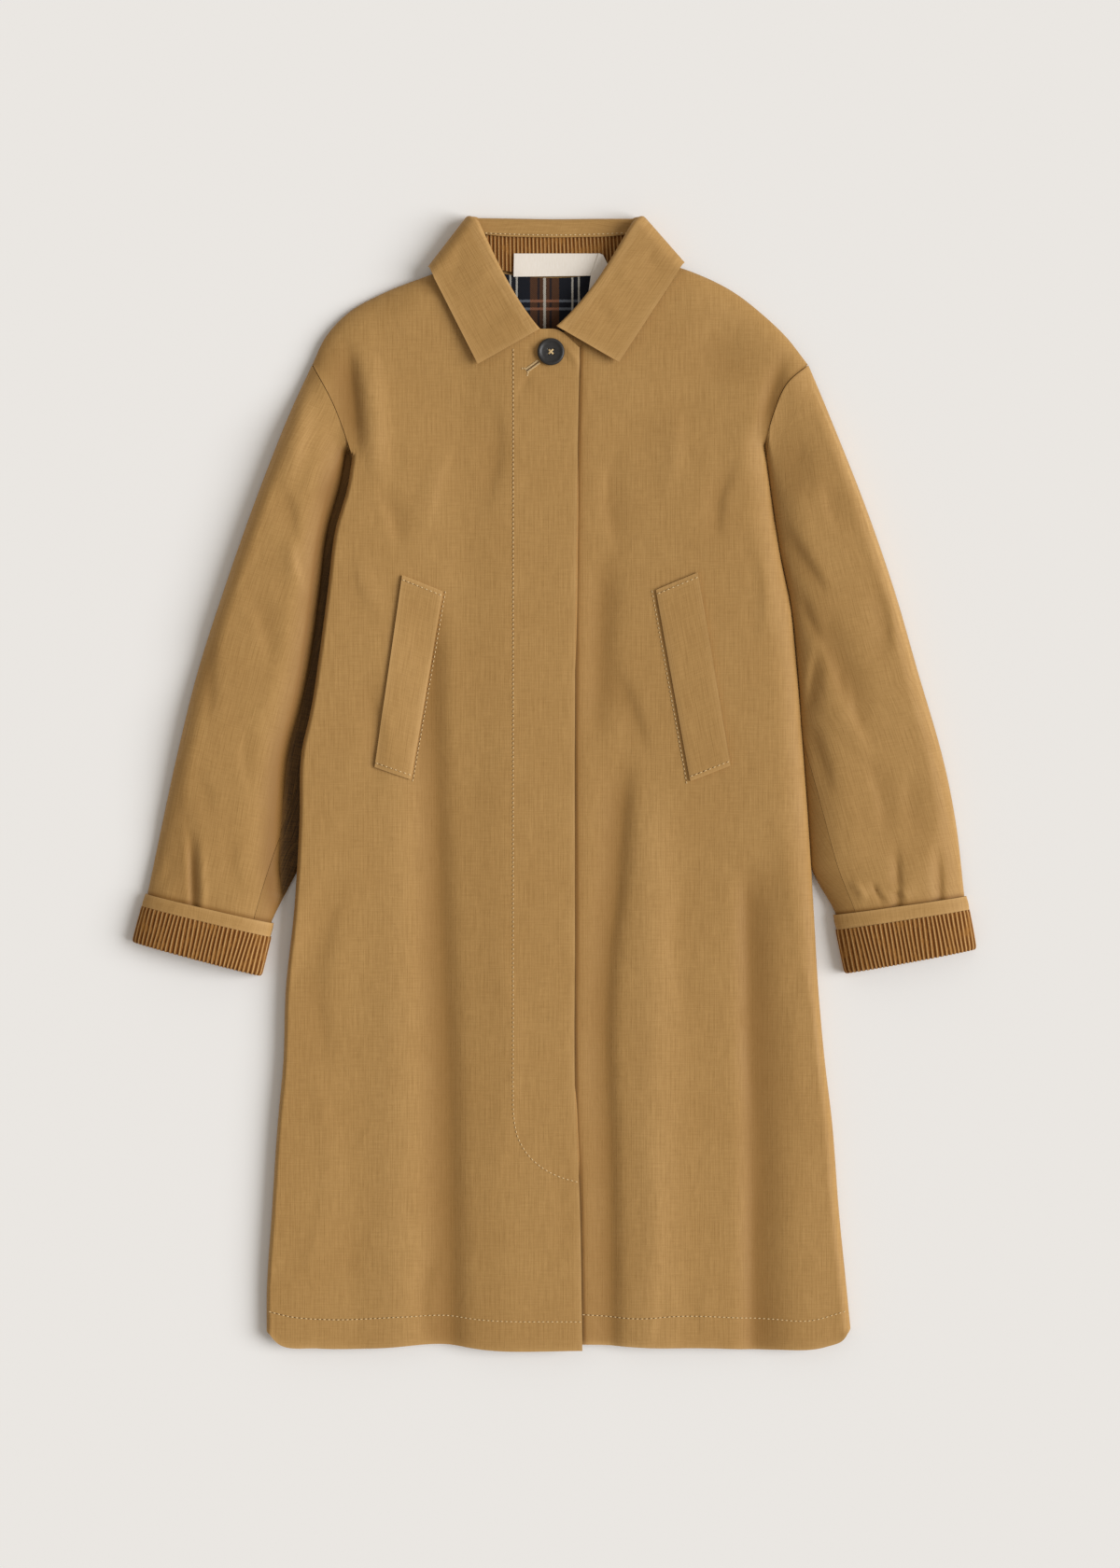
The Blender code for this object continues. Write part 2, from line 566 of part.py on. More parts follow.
def collar_sections():
    """Rows of roll point, its height, outward and fall direction, fall and strip width, roll radius."""
    sections = []
    centre = (ROLL_FRONT + ROLL_BACK) / 2
    reach = (ROLL_FRONT - ROLL_BACK) / 2
    corners = []
    for (tip, corner, end, wide, narrow), (fall_tip, fall_fold), side in (
        (COLLAR_LEFT, FALL_LEFT, -1), (COLLAR_RIGHT, FALL_RIGHT, 1)
    ):
        outward = np.array((side * abs(fall_fold[1]), abs(fall_fold[0])))
        fold = np.array(corner) - outward * (reach + ROLL + COLLAR / 2)
        edge = (np.array(tip) + wide * np.array(fall_tip), np.array(end))
        half = []
        for k in np.linspace(0, 1, 7):
            point = (1 - k) * np.array(tip) + k * fold
            fall = unit(*((1 - k) * np.array(fall_tip) + k * np.array(fall_fold)))
            roll = ROLL_TIP + (ROLL - ROLL_TIP) * smooth(k / 0.7)
            height = ROLL_FRONT + ROLL - roll
            width = reach_to(point, fall, *edge)
            half.append((point, height, (0.0, 0.0, 1.0), fall, width, STRIP_FRONT, roll))
        for turn in np.linspace(0, math.pi, 8)[1:]:
            point = fold + outward * reach * math.sin(turn)
            behind = float(smooth(turn / math.pi * 2 - 1))
            skin = point + outward * (ROLL + COLLAR / 2) * math.sin(turn)
            width = (1 - behind) * reach_to(skin, np.array(fall_fold), *edge) + behind * narrow
            point = point + (0.0, BACK_RISE * behind)
            normal = (*(outward * math.sin(turn)), math.cos(turn))
            strip = STRIP_FRONT + (STRIP_BACK - STRIP_FRONT) * turn / math.pi
            height = centre + reach * math.cos(turn)
            half.append((point, height, normal, np.array(fall_fold), width, strip, ROLL))
        corners.append((fold + (0.0, BACK_RISE), np.array(fall_fold), narrow))
        sections.append(half)
    (left, fall_left, wide_left), (right, fall_right, wide_right) = corners
    line = (left, (-40.0, 545.0), (0.0, 544.4), (40.0, 544.8), right)
    back = []
    for k in np.linspace(0, 1, 11)[1:-1]:
        point = through(line, [k])[0]
        start, end = 1 - smooth(k / 0.3), smooth((k - 0.7) / 0.3)
        fall = unit(*(start * fall_left + end * fall_right + (1 - start - end) * np.array((0.0, -1.0))))
        wide = start * wide_left + end * wide_right + (1 - start - end) * FALL_BACK
        back.append((point, ROLL_BACK, (0.0, 0.0, -1.0), fall, wide, STRIP_BACK, ROLL))
    return sections[0] + back + sections[1][::-1]


def make_collar():
    grid = []
    turns = np.radians((180.0, 135.0, 90.0, 45.0, 0.0))
    shares = (1.0, 0.7, 0.35, 0.12)
    sections = collar_sections()
    for point, height, normal, fall, wide, strip, roll in sections:
        n = np.array(normal)
        w = np.array((*fall, 0.0))
        centre = np.array((*point, height)) + w * roll
        drop = FALL_DROP * max(normal[2], 0.0)
        row = [centre + n * (roll - drop * smooth(share)) + w * (wide - roll) * share for share in shares]
        row += [centre - roll * (n * math.cos(a) + w * math.sin(a)) for a in turns]
        row += [centre - n * roll + w * strip * share for share in (0.5, 1.0)]
        grid.append(row)
    grid = np.array(grid)
    facing_up = np.array([section[2][2] for section in sections]) > 0.7
    floor = flap_floor(grid[:, :4, 0], grid[:, :4, 1]) + 0.8 + COLLAR / 2
    lifted = np.maximum(grid[:, :4, 2], floor)
    grid[:, :4, 2] = np.where(facing_up[:, None], lifted, grid[:, :4, 2])
    wall("collar", grid, COLLAR, "oilskin")


def make_neck():
    """Corduroy stand, lining and tape inside the back neck."""
    columns = 2 * STAND_WALES + 1
    shares = np.linspace(0, 1, columns)
    low = through(BACK_NECK, 0.1 + 0.8 * shares) + (0.0, 2.0)
    high = np.column_stack([-70.0 + 140.0 * shares, np.full(columns, 533.0)])
    stand = ROLL_BACK + ROLL - COLLAR / 2 - GAP - WALE_HEIGHT - CORD / 2
    middle = np.stack([np.column_stack([line, np.full(columns, stand)]) for line in (low, high)])
    up = np.array((0.0, 0.0, CORD / 2))
    ridge = np.where(np.arange(columns) % 2 == 0, 0.0, WALE_HEIGHT)
    outer = middle + up
    outer[..., 2] += ridge
    shell("collar_stand", outer, middle - up, "corduroy")
    across = np.linspace(0, 1, 7)
    top = through(BACK_NECK, 0.2 + 0.6 * across) - (0.0, 1.0)
    bottom = np.column_stack([-52.0 + 106.0 * across, np.full(7, 398.0)])
    along = np.linspace(0, 1, 8)
    left = bottom[0] + (top[0] - bottom[0]) * along[:, None]
    right = bottom[-1] + (top[-1] - bottom[-1]) * along[:, None]
    plan = patch(left, right, bottom, top, across, along)
    rest = SHELL / 2 + 0.5 + LINING / 2
    wall("back_lining", raised(plan, lambda x, y: back_height(x, y) + rest), LINING, "lining")
    height = stand + CORD / 2 + WALE_HEIGHT + 0.3 + TAPE / 2
    tape = np.array((((-39.0, 489.4), (37.6, 490.4)), ((-38.6, 511.8), (44.0, 511.8))))
    tail = np.array((
        ((34.6, 466.0), (46.0, 466.0)),
        ((38.6, 490.6), (55.0, 497.0)),
        ((45.0, 511.6), (47.5, 509.6)),
    ))
    for name, plan in (("label_tape", tape), ("label_tail", tail)):
        wall(name, np.dstack([plan, np.full(plan.shape[:2], height)]), TAPE, "tape")


def make_welt(side, corners, height):
    top_left, top_right, low_left, low_right = (np.array(corner) for corner in corners)
    across = np.linspace(0, 1, 4)
    along = np.linspace(0, 1, 9)
    left = low_left + (top_left - low_left) * along[:, None]
    right = low_right + (top_right - low_right) * along[:, None]
    plan = left[:, None] + (right - left)[:, None] * across[None, :, None]
    rest = SHELL / 2 + 0.9 + WELT / 2
    wall("welt_" + side, raised(plan, lambda x, y: height(x, y) + rest), WELT, "oilskin")


def ring(radius, height, steps):
    """Points of a level circle about the button's middle."""
    angles = [2 * math.pi * k / steps for k in range(steps)]
    x, y = BUTTON_AT
    return [(x + radius * math.cos(a), y + radius * math.sin(a), height) for a in angles]


def make_button():
    base = float(over_height(np.array(BUTTON_AT[0]), np.array(BUTTON_AT[1]))) + SHELL / 2 + 0.6
    steps = 28
    points = [(*BUTTON_AT, base + BUTTON_OUTLINE[0][1])]
    for radius, height in BUTTON_OUTLINE[1:-1]:
        points += ring(radius, base + height, steps)
    points.append((*BUTTON_AT, base + BUTTON_OUTLINE[-1][1]))
    faces = []
    rings = len(BUTTON_OUTLINE) - 2
    for k in range(steps):
        n = (k + 1) % steps
        faces.append((0, 1 + n, 1 + k))
        for level in range(rings - 1):
            a, b = 1 + level * steps, 1 + (level + 1) * steps
            faces.append((a + k, a + n, b + n, b + k))
        last = 1 + (rings - 1) * steps
        faces.append((last + k, last + n, len(points) - 1))
    button = solid("button", points, faces, "horn", 0.35)
    cut = button.modifiers.new("holes", "BOOLEAN")
    cut.operation = "DIFFERENCE"
    cut.solver = "EXACT"
    cut.object = button_holes(base)


def button_holes(base):
    """The four holes as one cutter."""
    sides = 10
    points = []
    faces = []
    for dx in (-BUTTON_HOLE_SPACING, BUTTON_HOLE_SPACING):
        for dy in (-BUTTON_HOLE_SPACING, BUTTON_HOLE_SPACING):
            first = len(points)
            for height in (base - 2.0, base + 8.0):
                points += [(x + dx, y + dy, z) for x, y, z in ring(BUTTON_HOLE, height, sides)]
            low = [first + k for k in range(sides)]
            high = [first + sides + k for k in range(sides)]
            for k in range(sides):
                n = (k + 1) % sides
                faces.append((low[k], low[n], high[n], high[k]))
            faces.append(tuple(reversed(low)))
            faces.append(tuple(high))
    cutter = solid("button_holes", points, faces, "horn")
    cutter.hide_render = True
    return cutter


def centre_all():
    """Moves the coat so that its bounding box stands over the origin."""
    corners = np.array([v.co[:] for o in bpy.data.objects if not o.hide_render for v in o.data.vertices])
    shift = (corners.min(axis=0) + corners.max(axis=0)) / 2
    shift[2] = corners[:, 2].min()
    for made in bpy.data.objects:
        for vertex in made.data.vertices:
            vertex.co = tuple(np.array(vertex.co[:]) - shift)


def main():
    clear_scene()
    make_back()
    make_fronts()
    make_fly_facing()
    make_sleeve("left", SLEEVE_LEFT, ARMHOLE_LEFT, False)
    make_sleeve("right", SLEEVE_RIGHT, ARMHOLE_RIGHT, True)
    make_cuff("left", CUFF_LEFT, False)
    make_cuff("right", CUFF_RIGHT, True)
    make_collar()
    make_neck()
    make_welt("left", WELT_LEFT, over_height)
    make_welt("right", WELT_RIGHT, front_height)
    make_button()
    centre_all()


main()
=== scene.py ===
import math
from functools import partial

import bpy
import numpy as np
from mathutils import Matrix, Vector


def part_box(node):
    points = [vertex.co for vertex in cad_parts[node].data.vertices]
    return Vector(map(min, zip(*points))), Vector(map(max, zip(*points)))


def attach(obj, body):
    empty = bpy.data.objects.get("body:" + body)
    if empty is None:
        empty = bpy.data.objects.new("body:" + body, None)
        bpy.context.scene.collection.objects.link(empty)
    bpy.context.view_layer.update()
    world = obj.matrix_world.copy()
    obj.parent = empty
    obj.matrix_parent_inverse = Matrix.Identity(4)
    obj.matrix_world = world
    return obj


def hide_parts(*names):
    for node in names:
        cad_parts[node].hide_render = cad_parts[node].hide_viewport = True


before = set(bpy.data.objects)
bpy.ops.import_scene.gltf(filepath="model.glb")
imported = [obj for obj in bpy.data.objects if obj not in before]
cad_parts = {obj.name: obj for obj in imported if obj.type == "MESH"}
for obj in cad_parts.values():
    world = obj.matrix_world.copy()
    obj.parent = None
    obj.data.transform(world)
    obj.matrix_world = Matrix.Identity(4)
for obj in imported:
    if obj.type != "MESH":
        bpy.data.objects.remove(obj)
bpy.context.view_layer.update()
print("frame loaded,", len(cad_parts), "nodes")

# The cut is drawn in millimetres: x to the viewer's right, y to the collar, z up
mm = 0.001

lie = {  # walls of the cloth and how the coat lies
    "shell": 1.8, "facing": 1, "collar": 2, "cord": 2, "strip": 1.6,
    "lining": 1, "tape": 0.8, "welt": 1.8, "gap": 0.4,
    "loft": 12, "hemDrop": 0.15, "hemFrom": -410, "hemFade": 137, "shoulderRound": 30,
    "sideRoundLeft": 4, "sideRoundRight": 26, "lowShare": 0.35, "lowFrom": -230, "lowFade": 130,
    "tuckLift": 4.5, "tuckMargin": 18, "tuckRamp": 46, "insideRamp": 150, "insideFrom": 60,
    "neckLift": 2.5, "neckFrom": 395, "neckFade": 76, "neckHalf": 130, "neckSide": 50,
    "overlap": 3.7, "overlapFrom": -96, "overlapFade": 58,
    "edgeRest": 1.5, "cuffLift": 3.2, "ease": 0.7, "easeShare": 0.3,
}

buttonAt = (-2.9, 415.1)
low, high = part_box("button")  # the CAD button says where the cut lies in the frame
middleX, middleY = (low.x + high.x) / 2 / mm, (low.y + high.y) / 2 / mm
tableShift = np.array([middleX - buttonAt[0], middleY - buttonAt[1], 0])


# Lines and heights

def smooth(share):
    share = np.clip(share, 0, 1)
    return share * share * (3 - 2 * share)


def rounded(distance, radius):  # quarter ellipse, 0 at an edge and 1 at the radius
    share = np.clip(distance / radius, 0, 1)
    return np.sqrt(1 - (1 - share) ** 2)


def through(points, shares, even=False):  # smooth line, at shares of its length or at row numbers
    p = np.array(points, float)
    steps = np.ones(len(p) - 1) if even else np.linalg.norm(np.diff(p, axis=0), axis=1)
    along = np.concatenate([[0], np.cumsum(steps)])
    slope = np.gradient(p, along, axis=0)
    s = np.asarray(shares, float) * (1 if even else along[-1])
    i = np.clip(np.searchsorted(along, s, side="right") - 1, 0, len(p) - 2)
    span = (along[i + 1] - along[i])[:, None]
    f = (s - along[i])[:, None] / span
    start = (1 + 2 * f) * (1 - f) ** 2 * p[i] + f * (1 - f) ** 2 * span * slope[i]
    end = f * f * (3 - 2 * f) * p[i + 1] + f * f * (f - 1) * span * slope[i + 1]
    return start + end


def away(x, y, line):  # distance from a line of points
    best = np.full(np.shape(x), np.inf)
    for (x0, y0), (x1, y1) in zip(line[:-1], line[1:]):
        dx, dy = x1 - x0, y1 - y0
        t = np.clip(((x - x0) * dx + (y - y0) * dy) / (dx * dx + dy * dy), 0, 1)
        best = np.minimum(best, np.hypot(x - x0 - t * dx, y - y0 - t * dy))
    return best


def creaseHeight(x, y, table):  # rows of points along the crease, half width, rise, lean to one side
    x, y = np.asarray(x, float), np.asarray(y, float)
    total = np.zeros(x.shape)
    for points, half, rise, lean in table:
        line = through(points, np.linspace(0, 1, 4 * len(points)))
        (lowX, lowY), (highX, highY) = line.min(axis=0) - 3 * half, line.max(axis=0) + 3 * half
        near = (x > lowX) & (x < highX) & (y > lowY) & (y < highY)
        if not near.any():
            continue
        px, py = x[near], y[near]
        best, place, side = np.full(px.shape, np.inf), np.zeros(px.shape), np.ones(px.shape)
        run = 0
        for (x0, y0), (x1, y1) in zip(line[:-1], line[1:]):
            dx, dy = x1 - x0, y1 - y0
            step = math.hypot(dx, dy)
            t = np.clip(((px - x0) * dx + (py - y0) * dy) / step ** 2, 0, 1)
            gap = np.hypot(px - x0 - t * dx, py - y0 - t * dy)
            closer = gap < best
            best = np.where(closer, gap, best)
            place = np.where(closer, run + t * step, place)
            side = np.where(closer, np.sign((px - x0) * dy - (py - y0) * dx), side)
            run += step
        ends = min(70, 0.42 * run)
        fade = smooth(place / ends) * smooth((run - place) / ends)
        total[near] += rise * fade * np.exp(-((best / (half * (1 + lean * side))) ** 2))
    return total


def bowed(table):  # small creases from x0, y0, x1, y1, half width, rise, each bent a little
    rows = []
    for k, (x0, y0, x1, y1, half, rise) in enumerate(table):
        bend = 0.09 * (-1) ** k
        middle = ((x0 + x1) / 2 - bend * (y1 - y0), (y0 + y1) / 2 + bend * (x1 - x0))
        rows.append((((x0, y0), middle, (x1, y1)), half, rise, 0.35 * (-1) ** (k // 2)))
    return tuple(rows)


body = {  # back and fronts: sides from armpit to hem, armholes from armpit to shoulder tip
    "sideLeft": (
        (-194, 314), (-198.5, 286), (-210, 246), (-217.5, 188), (-224.5, 134),
        (-235, 66), (-242.5, 33), (-245, -37), (-250.5, -127), (-258.5, -199),
        (-261, -271), (-266, -325), (-272, -415), (-277, -496), (-277, -529)),
    "sideRight": (
        (203, 325), (209, 278), (217.5, 222), (228, 170), (233.5, 116),
        (239, 44), (245, -37), (250.5, -127), (255, -199), (261.5, -271),
        (268, -325), (275, -415), (283, -496), (286, -527)),
    "armholeLeft": ((-194, 314), (-202, 338), (-212, 364), (-233, 404)),
    "armholeRight": ((203, 325), (211, 355), (225, 386), (245, 404)),
    "shoulderLeft": (
        (-233, 404), (-220, 431), (-200, 453),
        (-163, 474), (-125, 488.5), (-87, 503)),
    "shoulderRight": (
        (245, 404), (224, 431), (201, 453),
        (174, 474), (132, 494), (89, 507)),
    "hemOver": (
        (-277, -529), (-266, -541), (-228, -545.4), (-174, -545.4),
        (-107, -541.8), (-66, -546.8), (27.4, -547.4)),
    "hemUnder": (
        (-30, -541.8), (29, -542), (96, -545), (150, -545.4),
        (213, -547), (262, -544), (279, -537.5), (286, -527)),
    "hemBack": (
        (-277, -529), (-263, -539), (-200, -542), (0, -542),
        (212, -542), (272, -538), (286, -527)),
    "frontEdge": (
        (27.4, -547.4), (24, -383), (21, -325), (20.2, -145), (22.2, 287), (24.8, 419.4)),
    "underEdge": ((-30, -541.8), (-30, -200), (-30, 150), (-29, 418)),
    "neckOver": ((-87, 503), (-62, 470), (-40, 446), (-14, 437.5), (2, 437), (24.8, 419.4)),
    "neckUnder": ((-29, 418), (6, 433), (35, 448), (62, 472), (89, 507)),
    "backNeck": ((-87, 503), (-45, 493), (0, 489.5), (45, 493.5), (89, 507)),
    "sideShare": 0.8, "edgeShare": 0.895,  # shares of the height and the front edge, to the armhole
    "overShare": 0.52, "underShare": 0.48, "backShoulder": 0.36,  # shares of the top edges
}
lines = {name: through(body[name], np.linspace(0, 1, 70)) for name in (
    "sideLeft", "sideRight", "shoulderLeft", "shoulderRight", "armholeRight", "frontEdge")}

bodyFolds = (  # long soft folds, deeper than on the solids: points, half width, rise, lean
    (((-120, 190), (-118, 60), (-113, -80), (-104, -300), (-101, -480), (-100, -640)), 20, -4.6, 0.3),
    (((-140, 60), (-146, -120), (-150, -300), (-150, -640)), 26, 2, 0),
    (((70, 40), (66, -20), (60, -100), (51, -180), (49, -260), (52, -340), (54, -450), (54, -640)),
     15, -4.3, 0.32),
    (((52, 240), (47, 180), (44, 100), (38, 20)), 14, -3.2, 0),
    (((90, 10), (94, -150), (96, -320), (97, -640)), 22, 2.6, 0),
    (((52, 122), (66, 92), (80, 56), (92, 20)), 12, -2.2, 0.4),
    (((188, -60), (190, -200), (193, -380), (195, -640)), 18, -5, -0.35),
    (((146, 446), (158, 414), (172, 376)), 24, -1.5, 0),
    (((-204, 440), (-196, 392), (-191, 340), (-190, 300)), 15, -5.6, 0.5),
    (((-186, 440), (-176, 390), (-171, 330), (-168, 270)), 11, 2.8, 0),
    (((230, 424), (214, 388), (204, 350), (202, 316)), 9, -3.8, 0),
)
bodyCreases = bowed((  # small ones that the solids leave out
    (-26, 424, -14, 408, 2.7, -1.1),
    (8, 428, 16, 402, 2.4, -0.9),
    (12, 421, 22, 396, 2.2, 0.9),
    (-20, 396, -34, 372, 3.6, -0.9),
    (-60, 380, -74, 250, 11.2, -1.4),
    (-96, 330, -120, 236, 9.6, 1.3),
    (-176, 296, -148, 214, 8.8, -1.8),
    (-190, 232, -160, 150, 9.6, 1.4),
    (-186, 120, -178, -20, 10.4, -1.6),
    (-206, -90, -212, -300, 13, -1.2),
    (-236, -250, -244, -500, 12, 0.6),
    (-180, -400, -186, -540, 13, -0.6),
    (-62, -120, -66, -420, 12, 0.6),
    (-112, -440, -120, -546, 9, -1.2),
    (-10, -330, -4, -500, 11, -0.5),
    (58, 330, 70, 206, 10.4, -1.6),
    (112, 372, 104, 268, 11.2, 1.3),
    (176, 318, 158, 222, 8.8, -1.8),
    (192, 250, 196, 120, 9.6, 1.4),
    (132, -60, 138, -260, 14, -0.9),
    (168, -240, 172, -460, 12, 0.6),
    (236, -160, 244, -380, 12, -0.6),
    (100, -480, 94, -552, 6, -0.9),
    (150, -470, 152, -546, 8, 0.5),
    (78, -300, 80, -540, 10, 0.6),
))


tuckEnds = ((-230, 60), (345, 4), (400, 110))  # beyond the sleeve's rows: y, and how far out


def tuckLift(x, y, margin, ramp):  # lift of the body by the sleeves under its sides
    (lowY, lowOut), (armY, armOut), (topY, topOut) = tuckEnds
    total = np.zeros(np.shape(x))
    for rows, side in ((sleeves["left"]["rows"], 1), (sleeves["right"]["rows"], -1)):
        inner = np.array([row[2:4] for row in rows[:8]])[::-1]
        reach = side * inner[:, 0]
        heights = np.concatenate([[lowY], inner[:, 1], [armY, topY]])
        reach = np.concatenate([[reach[0] - lowOut], reach, [reach[-1] - armOut, reach[-1] - topOut]])
        past = side * x - np.interp(y, heights, reach)
        total += lie["tuckLift"] * (1 - smooth((past - margin) / ramp))
    return total


def neckLift(x, y):  # lift of the body by the collar's fall under its back
    beside = smooth((np.abs(x) - lie["neckHalf"]) / lie["neckSide"])
    return lie["neckLift"] * smooth((y - lie["neckFrom"]) / lie["neckFade"]) * (1 - beside)


def backHeight(x, y):
    return lie["shell"] / 2 + tuckLift(x, y, lie["tuckMargin"], lie["tuckRamp"]) + neckLift(x, y)


def fromSides(x, y):
    return np.minimum(away(x, y, lines["sideLeft"]), away(x, y, lines["sideRight"]))


def frontRise(x, y):  # loft above the resting edge, with rounded sides and shoulders, folds and creases
    left = rounded(away(x, y, lines["sideLeft"]), lie["sideRoundLeft"])
    lower = lie["lowShare"] + (1 - lie["lowShare"]) * smooth((y - lie["lowFrom"]) / lie["lowFade"])
    right = rounded(away(x, y, lines["sideRight"]), lie["sideRoundRight"] * lower)
    shoulder = np.minimum(away(x, y, lines["shoulderLeft"]), away(x, y, lines["shoulderRight"]))
    loft = lie["loft"] * (1 - lie["hemDrop"] * smooth((lie["hemFrom"] - y) / lie["hemFade"]))
    loft = loft + creaseHeight(x, y, bodyFolds) + creaseHeight(x, y, bodyCreases)
    return loft * left * right * rounded(shoulder, lie["shoulderRound"])


# Paler ridges and edges: partly wear, partly painted highlight. Darker troughs, seams, the side of the
# front edge, the cuff tops and the under sleeve: painted shade
wearAndShadeMarks = {  # heights of folds that reach full wear and shade; marks beside seams and edges as share and half width
    "bodyFold": 15, "creaseShare": 0.8, "seam": (0.3, 1.6), "edge": (1, 2.4), "edgeWide": (0.16, 9),
    "sleeveFold": 18, "sleeveEdge": (0.25, 3), "armhole": (0.3, 0.02), "cuffTop": (0.55, 0.06),
    "underSleeveShade": 0.16, "pressedShare": 0.5,
}


def bell(distance, mark):  # a mark's share at distance 0, fading over its half width
    share, half = mark
    return share * np.exp(-((distance / half) ** 2))


def bodyWearAndShade(x, y):  # 1 on ridges, paler from wear and painted highlight, 0 in troughs with painted shade, and less in the right armhole seam with painted seam shade
    seam = away(x, y, lines["armholeRight"])
    folds = creaseHeight(x, y, bodyFolds) + wearAndShadeMarks["creaseShare"] * creaseHeight(x, y, bodyCreases)
    return np.clip(0.5 + folds / wearAndShadeMarks["bodyFold"], 0, 1) - bell(seam, wearAndShadeMarks["seam"])


def frontLift(x, y):
    inside = smooth(fromSides(x, y) / lie["insideFrom"])
    outer = tuckLift(x, y, lie["tuckMargin"], lie["tuckRamp"])
    return outer * (1 - inside) + tuckLift(x, y, 0, lie["insideRamp"]) * inside


def frontHeight(x, y):
    return lie["shell"] / 2 + frontLift(x, y) + neckLift(x, y) + lie["edgeRest"] + frontRise(x, y)


def overHeight(x, y):
    return frontHeight(x, y) + lie["overlap"] * smooth((x - lie["overlapFrom"]) / lie["overlapFade"])


# Grids and cloth walls

def patch(left, right, bottom, top, across, along):  # grid between four edges
    u = np.asarray(across)[None, :, None]
    v = np.asarray(along)[:, None, None]
    ruled = (1 - u) * left[:, None] + u * right[:, None] + (1 - v) * bottom[None] + v * top[None]
    corners = (1 - v) * ((1 - u) * bottom[0] + u * bottom[-1]) + v * ((1 - u) * top[0] + u * top[-1])
    return ruled - corners


def onPlan(height, plan, *more):  # what a function of x and y gives at each point of a plan
    return height(plan[..., 0], plan[..., 1], *more)


def raised(plan, height):
    return np.dstack([plan, onPlan(height, plan)])


def joined(first, second, split, shares):
    shares = np.asarray(shares)
    start = through(first, np.clip(shares / split, 0, 1))
    end = through(second, np.clip((shares - split) / (1 - split), 0, 1))
    return np.where((shares <= split)[:, None], start, end)


def gridNormals(grid):
    normal = np.cross(np.gradient(grid, axis=1), np.gradient(grid, axis=0))
    return normal / np.maximum(np.linalg.norm(normal, axis=2, keepdims=True), 1e-9)


def arcs(grid):  # length across and along to each grid point
    across = np.linalg.norm(np.diff(grid, axis=1), axis=2)
    along = np.linalg.norm(np.diff(grid, axis=0), axis=2)
    u = np.concatenate([np.zeros((grid.shape[0], 1)), np.cumsum(across, axis=1)], axis=1)
    v = np.concatenate([np.zeros((1, grid.shape[1])), np.cumsum(along, axis=0)], axis=0)
    return u, v


rimWidth = 3  # mm of a free edge that is worn pale


def clothWall(name, outer, inner, uv, paint, wrap=False, worn=(), rub=None):  # worn: the free edges
    rows, columns = outer.shape[:2]
    count = rows * columns
    number = np.arange(count).reshape(rows, columns)
    last = columns if wrap else columns - 1
    j = np.arange(last)
    k = (j + 1) % columns
    i = np.arange(rows - 1)
    a, b = number[i][:, j].ravel(), number[i][:, k].ravel()
    c, d = number[i + 1][:, k].ravel(), number[i + 1][:, j].ravel()
    faces = [np.stack([a, b, c, d], 1), np.stack([a, d, c, b], 1) + count]
    a, b = number[0, j], number[0, k]
    faces.append(np.stack([a + count, b + count, b, a], 1))
    a, b = number[-1, j], number[-1, k]
    faces.append(np.stack([a, b, b + count, a + count], 1))
    if not wrap:
        a, b = number[:-1, 0], number[1:, 0]
        faces.append(np.stack([a, b, b + count, a + count], 1))
        a, b = number[:-1, -1], number[1:, -1]
        faces.append(np.stack([a + count, b + count, b, a], 1))
    points = np.concatenate([outer.reshape(-1, 3), inner.reshape(-1, 3)])
    u, v = arcs((outer + inner) / 2)
    reach = {"left": u, "right": u[:, -1:] - u, "low": v, "top": v[-1:] - v}
    rim = sum((np.exp(-reach[edge] / rimWidth) for edge in worn), np.zeros((rows, columns)))
    pieceUv = np.concatenate([uv.reshape(-1, 2)] * 2) * mm
    rub = np.full((rows, columns), 0.5) if rub is None else rub
    marks = {"rim": np.tile(np.clip(rim, 0, 1).ravel(), 2), "rub": np.tile(rub.ravel(), 2)}
    return pieceMesh(name, points, np.concatenate(faces).tolist(), paint, pieceUv, marks)


def pieceMesh(name, points, faces, paint, uv=None, marks=None, angle=50):
    mesh = bpy.data.meshes.new(name)
    mesh.from_pydata(((np.asarray(points) + tableShift) * mm).tolist(), [], faces)
    corner = np.zeros(len(mesh.loops), np.int32)
    mesh.loops.foreach_get("vertex_index", corner)
    if uv is not None:
        layer = mesh.uv_layers.new(name="grain")
        layer.data.foreach_set("uv", uv[corner].ravel().astype(np.float32))
    for label, values in (marks or {}).items():
        attribute = mesh.attributes.new(label, "FLOAT", "POINT")
        attribute.data.foreach_set("value", values.astype(np.float32))
    mesh.shade_smooth()
    mesh.set_sharp_from_angle(angle=math.radians(angle))
    mesh.materials.append(paint)
    made = bpy.data.objects.new(name, mesh)
    bpy.context.scene.collection.objects.link(made)
    return made


def clothPiece(name, middle, thick, paint, uv=None, worn=(), rub=None):
    offset = gridNormals(middle) * thick / 2
    if uv is None:
        uv = np.stack(arcs(middle), 2)
    return clothWall(name, middle + offset, middle - offset, uv, paint, worn=worn, rub=rub)


def dress(piece, nodes, middle=None):  # hangs a piece on the root and hides the CAD nodes it replaces
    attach(piece, "root")
    if nodes:
        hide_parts(*nodes)
    if middle is None:
        return
    u, v = arcs(middle)
    width, length = float(u[:, -1].max()) * mm, float(v[-1].max()) * mm
    first, right, up, last = middle[:-1, :-1], middle[:-1, 1:], middle[1:, :-1], middle[1:, 1:]
    halves = np.cross(up - first, right - first), np.cross(up - last, right - last)  # two triangles
    area = float(sum(np.linalg.norm(half, axis=2) for half in halves).sum() / 2) * mm * mm
    area = min(area, width * length)


# Finishes

def hexColour(text):  # sRGB hex to linear
    parts = [int(text[k:k + 2], 16) / 255 for k in (1, 3, 5)]
    return [p / 12.92 if p <= 0.04045 else ((p + 0.055) / 1.055) ** 2.4 for p in parts] + [1]


